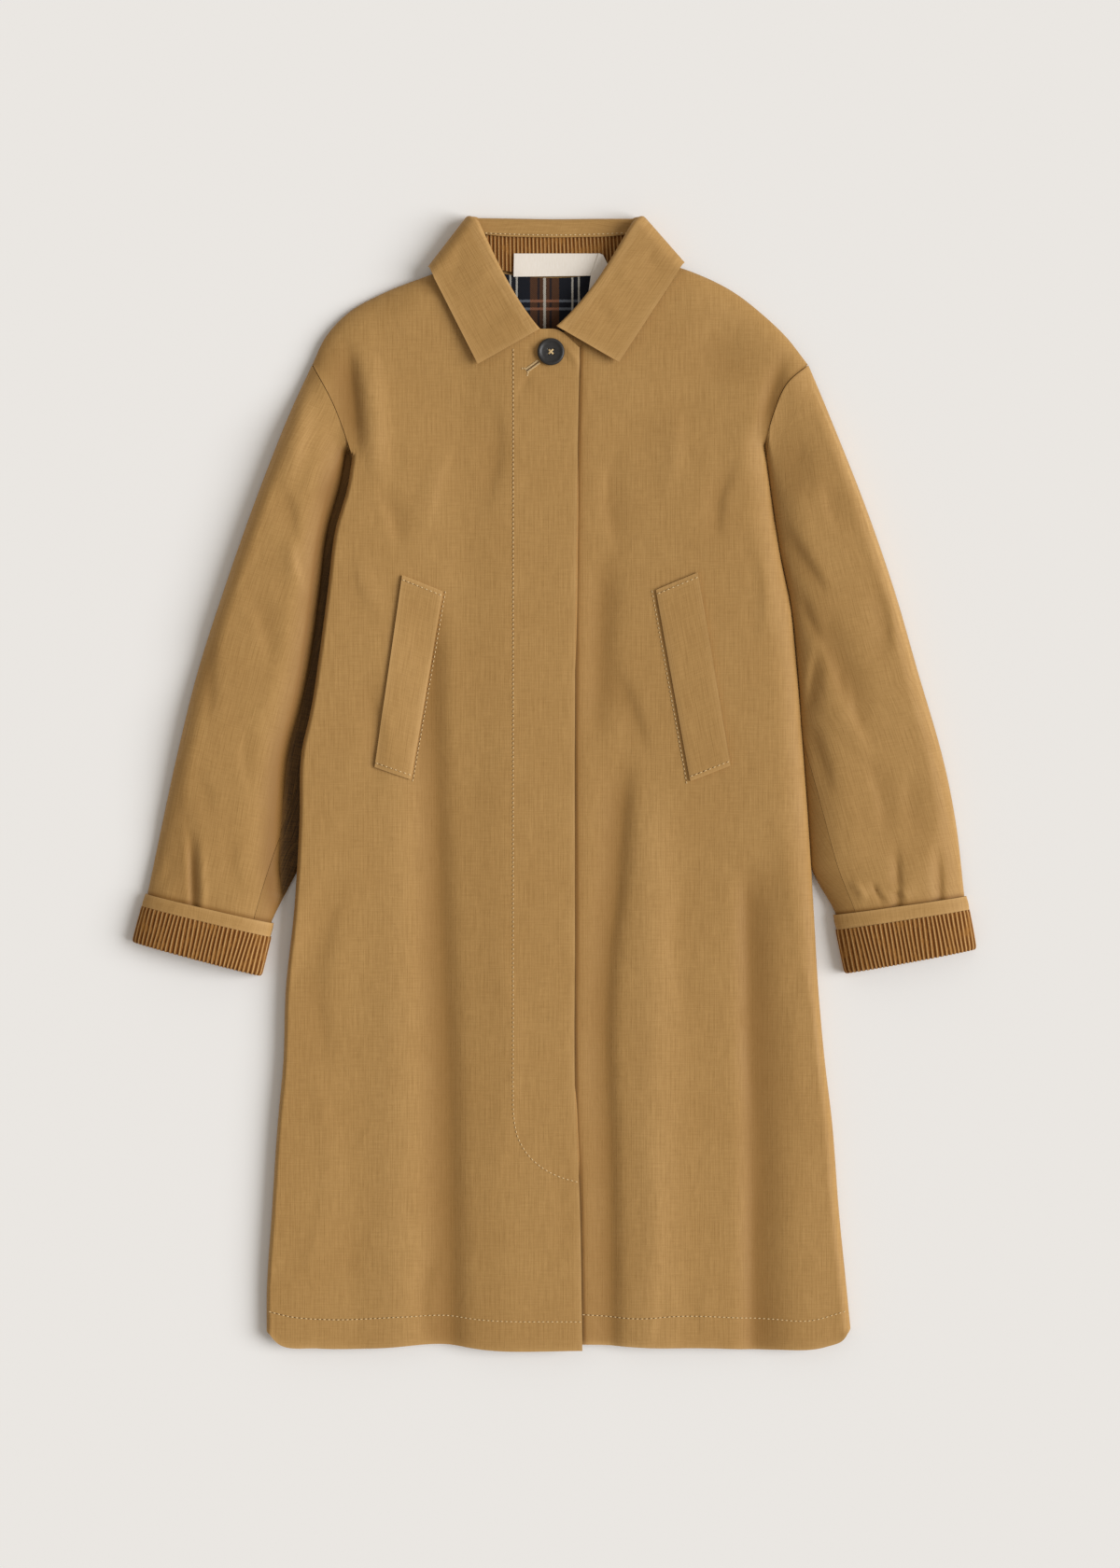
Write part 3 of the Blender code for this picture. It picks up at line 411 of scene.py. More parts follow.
def setInputs(node, inputs):  # by socket name, or by number as i0, i1
    for name, value in inputs.items():
        numbered = name[0] == "i" and name[1:].isdigit()
        socket = node.inputs[int(name[1:])] if numbered else node.inputs[name.replace("_", " ")]
        if isinstance(value, bpy.types.NodeSocket):
            node.id_data.links.new(value, socket)
        else:
            socket.default_value = hexColour(value) if isinstance(value, str) else value


def addNode(tree, kind, settings=None, take=0, **inputs):
    node = tree.nodes.new(kind)
    for name, value in (settings or {}).items():
        setattr(node, name, value)
    setInputs(node, inputs)
    return node if take is None else node.outputs[take]


def newFinish(name, coordinates):  # a finish with its place in millimetres
    made = bpy.data.materials.new(name)
    made.use_nodes = True
    add = partial(addNode, made.node_tree)
    coords = add("ShaderNodeTexCoord", take=coordinates)
    place = add("ShaderNodeVectorMath", {"operation": "SCALE"}, i0=coords, Scale=1 / mm)
    return made, add, made.node_tree.nodes["Principled BSDF"], place


# Numbered sockets: Mix takes i0 as share and i6, i7 as colours, Map Range turns i1..i2 into i3..i4
blend = {"data_type": "RGBA"}
times, plus, minus, larger, size, wrap, below, equal = ({"operation": word} for word in (
    "MULTIPLY", "ADD", "SUBTRACT", "MAXIMUM", "ABSOLUTE", "WRAP", "LESS_THAN", "COMPARE"))

oilskinLook = {
    "cloth": "#b18951", "dark": "#8d6733", "light": "#be975d",
    # worn: edges and fold ridges, wear and painted highlight; then painted shade in troughs, and the
    # darkest painted shadow
    "worn": "#cca46b", "paintedTroughShade": "#7a521f", "paintedDeepShadow": "#1c0f04",
    "ripstop": 4.7, "thread": 1,  # mm; threads are drawn about twice as coarse as real, to show
    "slubAlong": 30, "slubAcross": 18, "patch": 70, "crumple": 24, "broken": 8,
    "wearAndShadeLayers": ((0.5, 1, 0.6, "worn"), (0.5, 0, 0.8, "paintedTroughShade"), (0, -1, 0.9, "paintedDeepShadow")),  # from, to, most
}


def makeOilskin(look):
    # Oilskin: cotton ripstop dressed with wax. Broken fine squares in the weave, a dull sheen,
    # paler on worn edges and fold ridges (wear and painted highlight), painted shade in troughs, seams
    # and gaps
    made, add, shader, place = newFinish("waxedCottonOilskin", "UV")
    split = add("ShaderNodeSeparateXYZ", take=None, i0=place)
    broken = add("ShaderNodeTexNoise", Vector=place, Scale=1 / look["broken"])
    broken = add("ShaderNodeMapRange", Value=broken, i1=0.36, i2=0.66)
    squares = None
    for axis, strong in ((0, 1), (1, 0.5)):  # the thicker ripstop threads, plainer along the coat
        half = look["ripstop"] / 2
        wave = add("ShaderNodeMath", wrap, i0=split.outputs[axis], i1=half, i2=-half)
        near = add("ShaderNodeMath", size, i0=wave)
        mask = add("ShaderNodeMapRange", Value=near, i1=0.15, i2=0.8, i3=strong, i4=0)
        squares = mask if squares is None else add("ShaderNodeMath", larger, i0=squares, i1=mask)
    squares = add("ShaderNodeMath", times, i0=squares, i1=broken)
    slubs = []
    perMm = 1 / look["thread"]
    for stretch, share in (
            ((perMm, 1 / look["slubAlong"], 1), 1.25), ((1 / look["slubAcross"], perMm, 1), 0.75)):
        turned = add("ShaderNodeMapping", Vector=place, Scale=stretch)
        slub = add("ShaderNodeTexNoise", Vector=turned, Scale=1)
        slubs.append(add("ShaderNodeMath", times, i0=slub, i1=share))
    threads = add("ShaderNodeMath", plus, i0=slubs[0], i1=slubs[1])
    threadTone = add("ShaderNodeMapRange", Value=threads, i1=0.78, i2=1.24, i3=0.37, i4=0)
    patches = add("ShaderNodeTexNoise", Vector=place, Scale=1 / look["patch"], Detail=4)
    tone = add("ShaderNodeMapRange", Value=patches, i1=0.3, i2=0.7)
    share = add("ShaderNodeMath", times, i0=tone, i1=0.35)
    colour = add("ShaderNodeMix", blend, 2, i0=share, i6=look["cloth"], i7=look["light"])
    # per point: above 0.5 paler with wear and painted highlight, below it painted shade
    rub = add("ShaderNodeAttribute", {"attribute_name": "rub"}, "Fac")
    layers = []
    for start, end, most, paint in look["wearAndShadeLayers"]:
        layers.append((add("ShaderNodeMapRange", Value=rub, i1=start, i2=end, i4=most), paint))
    ripstop = add("ShaderNodeMath", times, i0=squares, i1=0.24)
    rim = add("ShaderNodeAttribute", {"attribute_name": "rim"}, "Fac")
    paleRim = add("ShaderNodeMapRange", Value=patches, i1=0.3, i2=0.7, i3=0.15, i4=0.6)
    paleRim = add("ShaderNodeMath", times, i0=paleRim, i1=rim)
    for share, paint in layers + [(threadTone, "dark"), (ripstop, "dark"), (paleRim, "worn")]:
        colour = add("ShaderNodeMix", blend, 2, i0=share, i6=colour, i7=look[paint])
    rough = add("ShaderNodeMapRange", Value=patches, i1=0.2, i2=0.8, i3=0.68, i4=0.56)
    often = 1 / look["crumple"]
    crumple = add("ShaderNodeTexNoise", Vector=place, Scale=often, Detail=3, Distortion=0.6)
    wide = add("ShaderNodeBump", Strength=0.5, Distance=0.0013, Height=crumple)
    weave = add("ShaderNodeMath", plus, i0=squares, i1=threads)
    fine = add("ShaderNodeBump", Strength=0.35, Distance=0.00022, Height=weave, Normal=wide)
    setInputs(shader, {
        "Base Color": colour, "Roughness": rough, "Normal": fine, "IOR": 1.45,
        "Specular IOR Level": 0.25, "Sheen Weight": 0.1, "Sheen Roughness": 0.5,
        "Sheen Tint": "#d8b98a",
    })
    return made


# Pale pile and dark grooves: partly the pile's own colours, partly painted highlight and shade
cordLook = {
    "pile": "#d8b175", "side": "#7e4e20", "groove": "#4e2d0c", "crushed": "#a8783d",
    "crushSize": (11, 14),  # mm across and along the ribs
}


def makeCorduroy(look):
    # Cotton corduroy: cut pile in ribs, pale on top and dark between (partly own colour, partly painted
    # highlight and shade), one tone where crushed
    made, add, shader, place = newFinish("cottonCorduroy", "UV")
    ridge = add("ShaderNodeAttribute", {"attribute_name": "wale"}, "Fac")
    pile = add("ShaderNodeTexNoise", Vector=place, Scale=1.3, Detail=3)
    flank = add("ShaderNodeMapRange", Value=ridge, i1=0.1, i2=0.7)
    crest = add("ShaderNodeMapRange", Value=ridge, i1=0.86)
    wide, long = look["crushSize"]
    stretched = add("ShaderNodeMapping", Vector=place, Scale=(1 / wide, 1 / long, 1))
    crush = add("ShaderNodeTexNoise", Vector=stretched, Scale=1, Detail=3)
    crush = add("ShaderNodeMapRange", Value=crush, i1=0.5, i2=0.7, i4=0.8)
    shade = add("ShaderNodeMapRange", Value=pile, i1=0.34, i2=0.66, i3=0.6, i4=0)
    colour = look["groove"]
    for share, paint in ((flank, "side"), (crest, "pile"), (crush, "crushed"), (shade, "side")):
        colour = add("ShaderNodeMix", blend, 2, i0=share, i6=colour, i7=look[paint])
    bump = add("ShaderNodeBump", Strength=0.6, Distance=0.0005, Height=pile)
    setInputs(shader, {
        "Base Color": colour, "Normal": bump, "Roughness": 0.9, "Specular IOR Level": 0.15,
        "Sheen Weight": 0.2, "Sheen Roughness": 0.4, "Sheen Tint": "#c79a66",
    })
    return made


checkLook = {  # a plain check: mm from the middle of a brown band
    "ground": "#12151e", "band": "#5b3a21", "stripe": "#c8c4b8",
    "cross": "#946248", "crossGround": "#6c727b", "twill": 2, "fuzz": 0.8,
    "repeat": 60, "middle": (-9, 462.4),
    "bandHalf": 14, "centreHalf": 1.3, "pairAt": 26.9, "crossAt": 3.8, "lineHalf": 0.95,
    "darkAt": 5.8, "darkHalf": 1.2, "crossHalf": 1.3,
}


def makeCheck(look):
    # Brushed cotton check: twill threads cross, so each stripe is broken by the other way's threads
    made, add, shader, place = newFinish("brushedCottonCheck", "UV")
    split = add("ShaderNodeSeparateXYZ", take=None, i0=place)
    fuzz = add("ShaderNodeTexNoise", Vector=place, Scale=0.9, Detail=3)
    edge = add("ShaderNodeMapRange", Value=fuzz, i3=-look["fuzz"], i4=look["fuzz"])
    offsets = []
    for axis in (0, 1):
        moved = add("ShaderNodeMath", minus, i0=split.outputs[axis], i1=look["middle"][axis])
        half = look["repeat"] / 2
        turn = add("ShaderNodeMath", wrap, i0=moved, i1=half, i2=-half)
        off = add("ShaderNodeMath", size, i0=turn)
        offsets.append(add("ShaderNodeMath", plus, i0=off, i1=edge))
    band, centre = (
        add("ShaderNodeMath", below, i0=offsets[0], i1=look[half])
        for half in ("bandHalf", "centreHalf"))
    pair, dark, cross = (
        add("ShaderNodeMath", equal, i0=offsets[way], i1=look[at], i2=look[half]) for way, at, half in (
            (0, "pairAt", "lineHalf"), (0, "darkAt", "darkHalf"), (1, "crossAt", "crossHalf")))
    stripe = add("ShaderNodeMath", larger, i0=centre, i1=pair)
    across = add("ShaderNodeMix", blend, 2, i0=band, i6=look["crossGround"], i7=look["cross"])
    slant = add("ShaderNodeMath", plus, i0=split.outputs[0], i1=split.outputs[1])
    twill = add("ShaderNodeMath", wrap, i0=slant, i1=look["twill"], i2=0)
    thread = add("ShaderNodeMapRange", Value=twill, i2=look["twill"], i3=0.45)
    colour = look["ground"]
    for mask, paint in (
            (band, look["band"]), (dark, look["ground"]), (cross, across), (stripe, look["stripe"])):
        share = add("ShaderNodeMath", times, i0=mask, i1=thread)
        colour = add("ShaderNodeMix", blend, 2, i0=share, i6=colour, i7=paint)
    nap = add("ShaderNodeMath", plus, i0=twill, i1=fuzz)
    bump = add("ShaderNodeBump", Strength=0.5, Distance=0.0003, Height=nap)
    setInputs(shader, {
        "Base Color": colour, "Normal": bump, "Roughness": 0.9, "Specular IOR Level": 0.2,
        "Sheen Weight": 0.2,
    })
    return made


tapeLook = {"tape": "#f4eee4", "shade": "#e4dacb", "thread": 0.8, "slub": 8}


def makeTape(look):
    # Woven cotton tape: cream, with fine threads across and a satin face
    made, add, shader, place = newFinish("wovenCottonTape", "UV")
    turned = add("ShaderNodeMapping", Vector=place, Scale=(1 / look["thread"], 1 / look["slub"], 1))
    threads = add("ShaderNodeTexNoise", Vector=turned, Scale=1)
    colour = add("ShaderNodeMix", blend, 2, i0=threads, i6=look["tape"], i7=look["shade"])
    bump = add("ShaderNodeBump", Strength=0.4, Distance=0.0002, Height=threads)
    setInputs(shader, {"Base Color": colour, "Normal": bump, "Roughness": 0.6, "Sheen Weight": 0.1})
    return made


hornLook = {"horn": "#201f1e", "streak": "#353331", "streakSize": 2.5}


def makeHorn(look):
    # Moulded resin that looks like dark horn: semi-gloss, with faint cloudy streaks
    made, add, shader, place = newFinish("mouldedHornResin", "Object")
    fine = 1 / look["streakSize"]
    cloud = add("ShaderNodeTexNoise", Vector=place, Scale=fine, Detail=4, Distortion=1.2)
    colour = add("ShaderNodeMix", blend, 2, i0=cloud, i6=look["horn"], i7=look["streak"])
    rough = add("ShaderNodeMapRange", Value=cloud, i1=0.2, i2=0.8, i3=0.36, i4=0.5)
    setInputs(shader, {
        "Base Color": colour, "Roughness": rough, "IOR": 1.54, "Specular IOR Level": 0.35})
    return made


threadLooks = {  # pale sewing thread, and the dark painted shade of the needle holes and slit that it is drawn into
    "cottonSewingThread": ("#e4cc9c", "#c4a26a"),
    "paintedHoleShade": ("#6b4c24", "#523819"),
}


def makeThread(name):
    # Cotton core thread: matt, two plies twisted; the dark one is painted shade in needle holes and the
    # buttonhole's slit
    first, second = threadLooks[name]
    made, add, shader, place = newFinish(name, "Object")
    ply = add("ShaderNodeTexNoise", Vector=place, Scale=1.4)
    colour = add("ShaderNodeMix", blend, 2, i0=ply, i6=first, i7=second)
    setInputs(shader, {"Base Color": colour, "Roughness": 0.75, "Sheen Weight": 0.1})
    return made


oilskin = makeOilskin(oilskinLook)
corduroy = makeCorduroy(cordLook)
check = makeCheck(checkLook)
tape = makeTape(tapeLook)
horn = makeHorn(hornLook)
thread = makeThread("cottonSewingThread")
# dark finish: painted shade in the needle holes and the buttonhole's slit
holeShade = makeThread("paintedHoleShade")
print("finishes made")


# Back, fronts and the facing of the hidden fly

# Rows from the armhole to inside the cuff: outer x y, inner x y, crown, outer and inner rounding,
# drape, seam share. A sleeve lies flat for clear mm beside the body, and widen mm more in the valley
sleeves = {
    "left": {"armhole": "armholeLeft", "side": "sideLeft", "turn": False,
             "clear": 9, "widen": 11, "pressed": 0.3, "rows": (
        (-233.9, 403.3, -195.2, 312.8, 15, 38, 44, 1.6, 0.8),
        (-258, 350, -176, 251, 19, 38, 36, 1.3, 0.8),
        (-289.5, 269, -172, 179, 21, 40, 34, 1.2, 0.8),
        (-318, 188, -183, 107, 21, 42, 34, 1.2, 0.8),
        (-344, 107, -203, 35, 20, 44, 36, 1.2, 0.8),
        (-364, 26, -225.5, -28, 19, 48, 40, 1.2, 0.8),
        (-378.5, -41, -248, -82, 17.5, 54, 46, 1.1, 0.81),
        (-392.2, -107.6, -273.8, -134.9, 16, 58, 48, 1, 0.87),
        (-399.7, -139.4, -282.3, -169.3, 16, 58, 48, 1, 0.87))},
    "right": {"armhole": "armholeRight", "side": "sideRight", "turn": True,
              "clear": 1.2, "widen": 0, "pressed": 0.9, "rows": (
        (246.2, 403, 204.4, 323.6, 15, 38, 44, 1.2, 0.8),
        (268, 350, 188, 256, 18, 38, 38, 1, 0.8),
        (300, 269, 184, 179, 20, 40, 38, 1, 0.8),
        (328, 188, 193, 107, 20, 42, 38, 1, 0.8),
        (351.5, 107, 209, 35, 20, 44, 42, 1.1, 0.79),
        (375, 26, 229, -28, 19, 48, 46, 1.2, 0.81),
        (388.5, -41, 251, -86, 17.5, 54, 50, 1.2, 0.84),
        (396.1, -109.6, 273.1, -127, 16, 58, 48, 1, 0.86),
        (401.5, -144.6, 281.1, -165.2, 16, 58, 48, 1, 0.86))},
}
sleeveFolds = (  # points, half width, rise, lean
    (((-226, 412), (-240, 350), (-253, 306), (-266, 262)), 9, 3, 0),
    (((-330, 160), (-332, 105), (-335, 50)), 11, -2.8, 0.3),
    (((-352, -34), (-349, -76), (-347, -150)), 6, -4.4, -0.45),
    (((-362, 30), (-361, -40), (-357, -100), (-355, -170)), 12, -2, 0),
    (((-341, -40), (-339.5, -75), (-339, -150)), 4.5, 2.2, 0),
    (((228, 345), (232, 305), (230, 262)), 17, -3.2, 0),
    (((214, 262), (222, 247), (240, 216), (256, 190), (262, 165)), 9, -3.2, 0.35),
    (((236, 190), (245, 162), (260, 128)), 7, -2.8, 0.3),
    (((256, 142), (250, 100), (243, 56)), 7, -3, -0.3),
    (((243, 66), (256, 30), (268, -16)), 8, -2.6, 0.3),
    (((246, 196), (256, 160), (274, 110), (290, 60), (297, 30)), 13, -3.6, -0.3),
    (((258, 372), (270, 340), (288, 297), (314, 220), (330, 166), (340, 120)), 8, 2.6, 0),
    (((329, -50), (331, -80), (332, -150)), 5, -2.6, 0.3),
    (((369, -52), (371, -80), (373, -150)), 5, -2.6, 0.3),
)
sleeveCreases = bowed((
    (-268, 296, -252, 214, 9, -1.6),
    (-252, 250, -236, 176, 6.8, 1.7),
    (-300, 196, -272, 96, 11, -1.4),
    (-292, 60, -286, -20, 9, -1.4),
    (-352, 20, -330, -44, 10, -0.9),
    (-306, -40, -300, -112, 8, -0.9),
    (-372, -66, -378, -104, 6, -0.8),
    (262, 300, 282, 236, 9, -1.3),
    (306, 200, 316, 110, 9.3, -1.7),
    (280, 110, 306, 20, 7.6, 1.9),
    (296, 30, 318, -60, 9, -1.5),
    (346, 20, 352, -60, 10, -1.2),
    (284, -92, 302, -116, 3.6, 2.2),
    (306, -92, 322, -118, 3.2, -2.4),
    (318, -100, 346, -113, 3.6, 1.8),
))

panelGrid = {
    "sideColumns": 26, "openColumns": 84, "rollShare": 0.12,
    "sideRows": 210, "topRows": 46, "topCrowd": 1.8,
    "backColumns": 101, "backEvery": 3,  # the back is plain, so its rows are fewer
}


def bodyRows(grid):
    side = np.linspace(0, 1, grid["sideRows"])
    top = 1 - (1 - np.linspace(0, 1, grid["topRows"] + 1)[1:]) ** grid["topCrowd"]
    share, edge = body["sideShare"], body["edgeShare"]
    along = np.concatenate([side * share, share + top * (1 - share)])
    return along, np.concatenate([side * edge, edge + top * (1 - edge)])


def bodyColumns(grid):  # close together where the cloth rolls over the side
    share = grid["rollShare"]
    roll = share * np.linspace(0, 1, grid["sideColumns"]) ** 2
    return np.concatenate([roll, np.linspace(share, 1, grid["openColumns"])[1:]])


def sideEdge(side, along):
    return joined(body["side" + side][::-1], body["armhole" + side], body["sideShare"], along)


def shellPiece(name, node, plan, height, worn, rub=None):
    middle = raised(plan, height)
    piece = clothPiece(name, middle, lie["shell"], oilskin, plan, worn, rub)
    dress(piece, [node], middle)


def makeBody(grid):
    along, edge = bodyRows(grid)
    across = bodyColumns(grid)
    top = joined(body["shoulderLeft"], body["neckOver"], body["overShare"], across)
    front, hem = through(body["frontEdge"], edge), through(body["hemOver"], across)
    plan = patch(sideEdge("Left", along), front, hem, top, across, along)
    rub = onPlan(bodyWearAndShade, plan)
    shellPiece("frontOver", "front_over", plan, overHeight, ("right", "low"), rub)
    across = 1 - across[::-1]
    shoulder = body["shoulderRight"][::-1]
    top = joined(body["neckUnder"], shoulder, body["underShare"], across)
    front, hem = through(body["underEdge"], edge), through(body["hemUnder"], across)
    plan = patch(front, sideEdge("Right", along), hem, top, across, along)
    beside = onPlan(away, plan, lines["frontEdge"])  # painted shadow beside the front edge
    rub = onPlan(bodyWearAndShade, plan) - bell(beside, wearAndShadeMarks["edge"]) - bell(beside, wearAndShadeMarks["edgeWide"])
    shellPiece("frontUnder", "front_under", plan, frontHeight, ("low",), rub)
    across = np.linspace(0, 1, grid["backColumns"])
    few = along[::grid["backEvery"]]
    along = few if few[-1] == 1 else np.append(few, 1)
    first = body["backShoulder"]
    rest = 1 - first
    shares = np.clip((across - first) / rest, 0, 1)
    neckLine = joined(body["backNeck"], shoulder, (rest - first) / rest, shares)
    start = through(body["shoulderLeft"], np.clip(across / first, 0, 1))
    top = np.where((across <= first)[:, None], start, neckLine)
    hem = through(body["hemBack"], across)
    plan = patch(sideEdge("Left", along), sideEdge("Right", along), hem, top, across, along)
    shellPiece("backPanel", "back", plan, backHeight, ("low",))


flyFacing = {  # y of its ends, x of the hidden edge, how far the other lies back and where it peeps out
    "low": -378, "top": 408, "inner": -34, "back": 1.2, "peep": 3, "peeps": ((215, 110), (-335, 45)),
    "rows": 160, "columns": 18,
}


def makeFacing(f):
    heights = np.linspace(f["low"], f["top"], f["rows"])
    edge = through(body["frontEdge"], np.linspace(0, 1, 120))
    right = np.interp(heights, edge[:, 1], edge[:, 0])
    peep = sum(np.exp(-(((heights - y) / half) ** 4)) for y, half in f["peeps"])
    right = right - f["back"] + f["peep"] * np.clip(peep, 0, 1)
    shares = np.linspace(0, 1, f["columns"])[None, :]
    across = f["inner"] + shares * (right[:, None] - f["inner"])
    plan = np.dstack([across, np.repeat(heights[:, None], f["columns"], axis=1)])
    lift = lie["shell"] / 2 + lie["gap"] + lie["facing"] / 2
    middle = raised(plan, lambda x, y: frontHeight(x, y) + lift)
    piece = clothPiece("flyFacing", middle, lie["facing"], oilskin, plan, ("right",))
    dress(piece, ["fly_facing"], middle)


makeBody(panelGrid)
makeFacing(flyFacing)
print("body made")


# Sleeves

sleeveLie = {  # v counts the rows from the armhole
    "toward": 0.4, "bowRows": 1.6, "outerFlat": 0.6, "flatRow": 6.8, "foldEdge": 14,
    "pressAt": 5, "pressHalf": 1.5, "pressFrom": 0.6, "pressTo": 5.6, "pressFade": 1.2,
    "seamLift": 0.85, "seamEdge": 10, "seamRows": 1.3, "liftRow": 6, "cuffRow": 7, "lastRow": 8,
    "valleyTop": 150, "valleyTopFade": 220, "valleyLow": -135, "valleyLowFade": 60,
}
gapShade = {  # mm from the body's side, each with what is added where the valley is widest
    "brown": (0.4, 0.1), "brownTo": (36, 10), "brownFade": (26, -4), "blackTo": (20.5, 4),
    "blackFade": 13, "armpit": (0.6, 20), "armpitY": 286,
    "topShare": 0.45, "topRow": 0.7, "topFade": 1.7, "startFade": 0.5, "endRow": 7.9, "endFade": 1.2,
}


def sleevePlan(sleeve, u, v):
    rows, armhole = sleeve["rows"], body[sleeve["armhole"]]
    values = through(rows, v, even=True)
    outer, inner = values[:, None, 0:2], values[:, None, 2:4]
    first = np.array(rows[0])
    straight = (1 - u)[..., None] * first[0:2] + u[..., None] * first[2:4]
    seam = through(armhole[::-1], u.reshape(-1)).reshape(u.shape + (2,))
    toward = sleeveLie["toward"] * (first[0:2] - np.array(armhole[-1]))
    fade = (1 - np.clip(v / sleeveLie["bowRows"], 0, 1)) ** 2
    bow = (seam + toward - straight) * fade[:, None, None]
    return outer + u[..., None] * (inner - outer) + bow, values, seam


def rowWidths(values):
    return np.hypot(values[:, 2] - values[:, 0], values[:, 3] - values[:, 1])[:, None]


def valley(y):  # 1 where the valley between body and sleeve is widest, above the cuff
    k = sleeveLie
    below = smooth((k["valleyTop"] - y) / k["valleyTopFade"])
    return below * smooth((y - k["valleyLow"]) / k["valleyLowFade"])


def sleeveFree(sleeve, v):  # share of each row's width that stands free of the body
    count = 700
    rows = np.linspace(0, sleeveLie["lastRow"], 65)
    shares = np.repeat(np.linspace(0, 1, count)[None, :], len(rows), axis=0)
    plan, _, _ = sleevePlan(sleeve, shares, rows)
    line = np.array(body[sleeve["side"]])
    side = -1 if sleeve["turn"] else 1
    order = np.argsort(line[:, 1])
    edge = np.interp(plan[..., 1], line[order, 1], line[order, 0])
    under = (side * (plan[..., 0] - edge) > 0) & (plan[..., 1] < line[0, 1])
    gap = np.where(under, 0, onPlan(away, plan, lines[sleeve["side"]]))
    clear = gap > sleeve["clear"] + sleeve["widen"] * valley(plan[..., 1])
    free = np.where(clear.all(axis=1), 1, np.argmin(clear, axis=1) / (count - 1))
    return np.interp(v, rows, free)[:, None]


def paintedGapShade(g, plan, v, near):  # painted shade in the valley: brown, and black beside the body
    wide = valley(plan[..., 1])
    brown, brownTo, brownFade, blackTo = (
        g[name][0] + g[name][1] * wide for name in ("brown", "brownTo", "brownFade", "blackTo"))
    brown = brown + bell(plan[..., 1] - g["armpitY"], g["armpit"])
    dark = brown * smooth((brownTo - near) / brownFade) + smooth((blackTo - near) / g["blackFade"])
    top = g["topShare"] + (1 - g["topShare"]) * smooth((v - g["topRow"]) / g["topFade"])
    return dark * (top * smooth(v / g["startFade"]) * smooth((g["endRow"] - v) / g["endFade"]))[:, None]


def sleeveHeight(sleeve, u, v):
    k = sleeveLie
    plan, values, seam = sleevePlan(sleeve, u, v)
    width = rowWidths(values)
    across = u * width
    crown, outerRound, innerRound, drape = (values[:, n][:, None] for n in range(4, 8))
    flat = k["outerFlat"] * smooth(k["flatRow"] - v)[:, None]  # the outer edge, above the cuff
    slope = np.clip(sleeveFree(sleeve, v) - u, 0, 1) * width
    shape = rounded(across, outerRound * (1 - flat)) * rounded(slope, innerRound) ** drape
    folds = onPlan(creaseHeight, plan, sleeveFolds) + onPlan(creaseHeight, plan, sleeveCreases)
    ends = smooth(v / k["pressFrom"]) * smooth((k["pressTo"] - v) / k["pressFade"])
    pressed = bell(across - k["pressAt"], (sleeve["pressed"], k["pressHalf"])) * ends[:, None]
    fromEdge = rounded(np.minimum(across, slope), k["foldEdge"])
    own = np.maximum(crown * shape + pressed + folds * fromEdge, 0)
    atSeam = onPlan(frontRise, seam) + k["seamLift"] * onPlan(frontLift, seam)
    atSeam = atSeam * rounded(slope, k["seamEdge"])
    rise = atSeam + (own - atSeam) * smooth(v / k["seamRows"])[:, None]
    under = lie["shell"] / 2 + lie["cuffLift"] * smooth(v - k["liftRow"])[:, None] + np.zeros_like(u)
    top = under + lie["edgeRest"] + lie["ease"] * smooth(u / lie["easeShare"]) + rise
    # Painted shade at the right armhole seam and above the cuff strip; the outer fold edge and pressed
    # ridge paler, wear and painted highlight
    seams = sleeve["turn"] * bell(v, wearAndShadeMarks["armhole"]) + bell(k["cuffRow"] - v, wearAndShadeMarks["cuffTop"])
    edges = bell(across, wearAndShadeMarks["sleeveEdge"]) - seams[:, None]
    rub = np.clip(0.5 + folds / wearAndShadeMarks["sleeveFold"] + wearAndShadeMarks["pressedShare"] * pressed + edges, 0, 1)
    # painted shade in the valley that the left body side shades
    if not sleeve["turn"]:
        rub = rub - paintedGapShade(gapShade, plan, v, onPlan(away, plan, lines[sleeve["side"]]))
    return plan, under, top, rub


sleeveGrid = {
    "topRows": 40, "rows": 170, "rollColumns": 20, "openColumns": 40, "rollShare": 0.2,
    "flatColumns": 10, "lowColumns": 14, "lowFrom": 0.01, "turnColumns": 12,
    "seamGap": 0.3, "seamMore": 0.5, "seamRows": 1.2,  # the gap is in mm, wider at the armhole
    "knee": 0.03, "underKnee": 0.015, "bendIn": 1.4, "bendOut": 14,
}


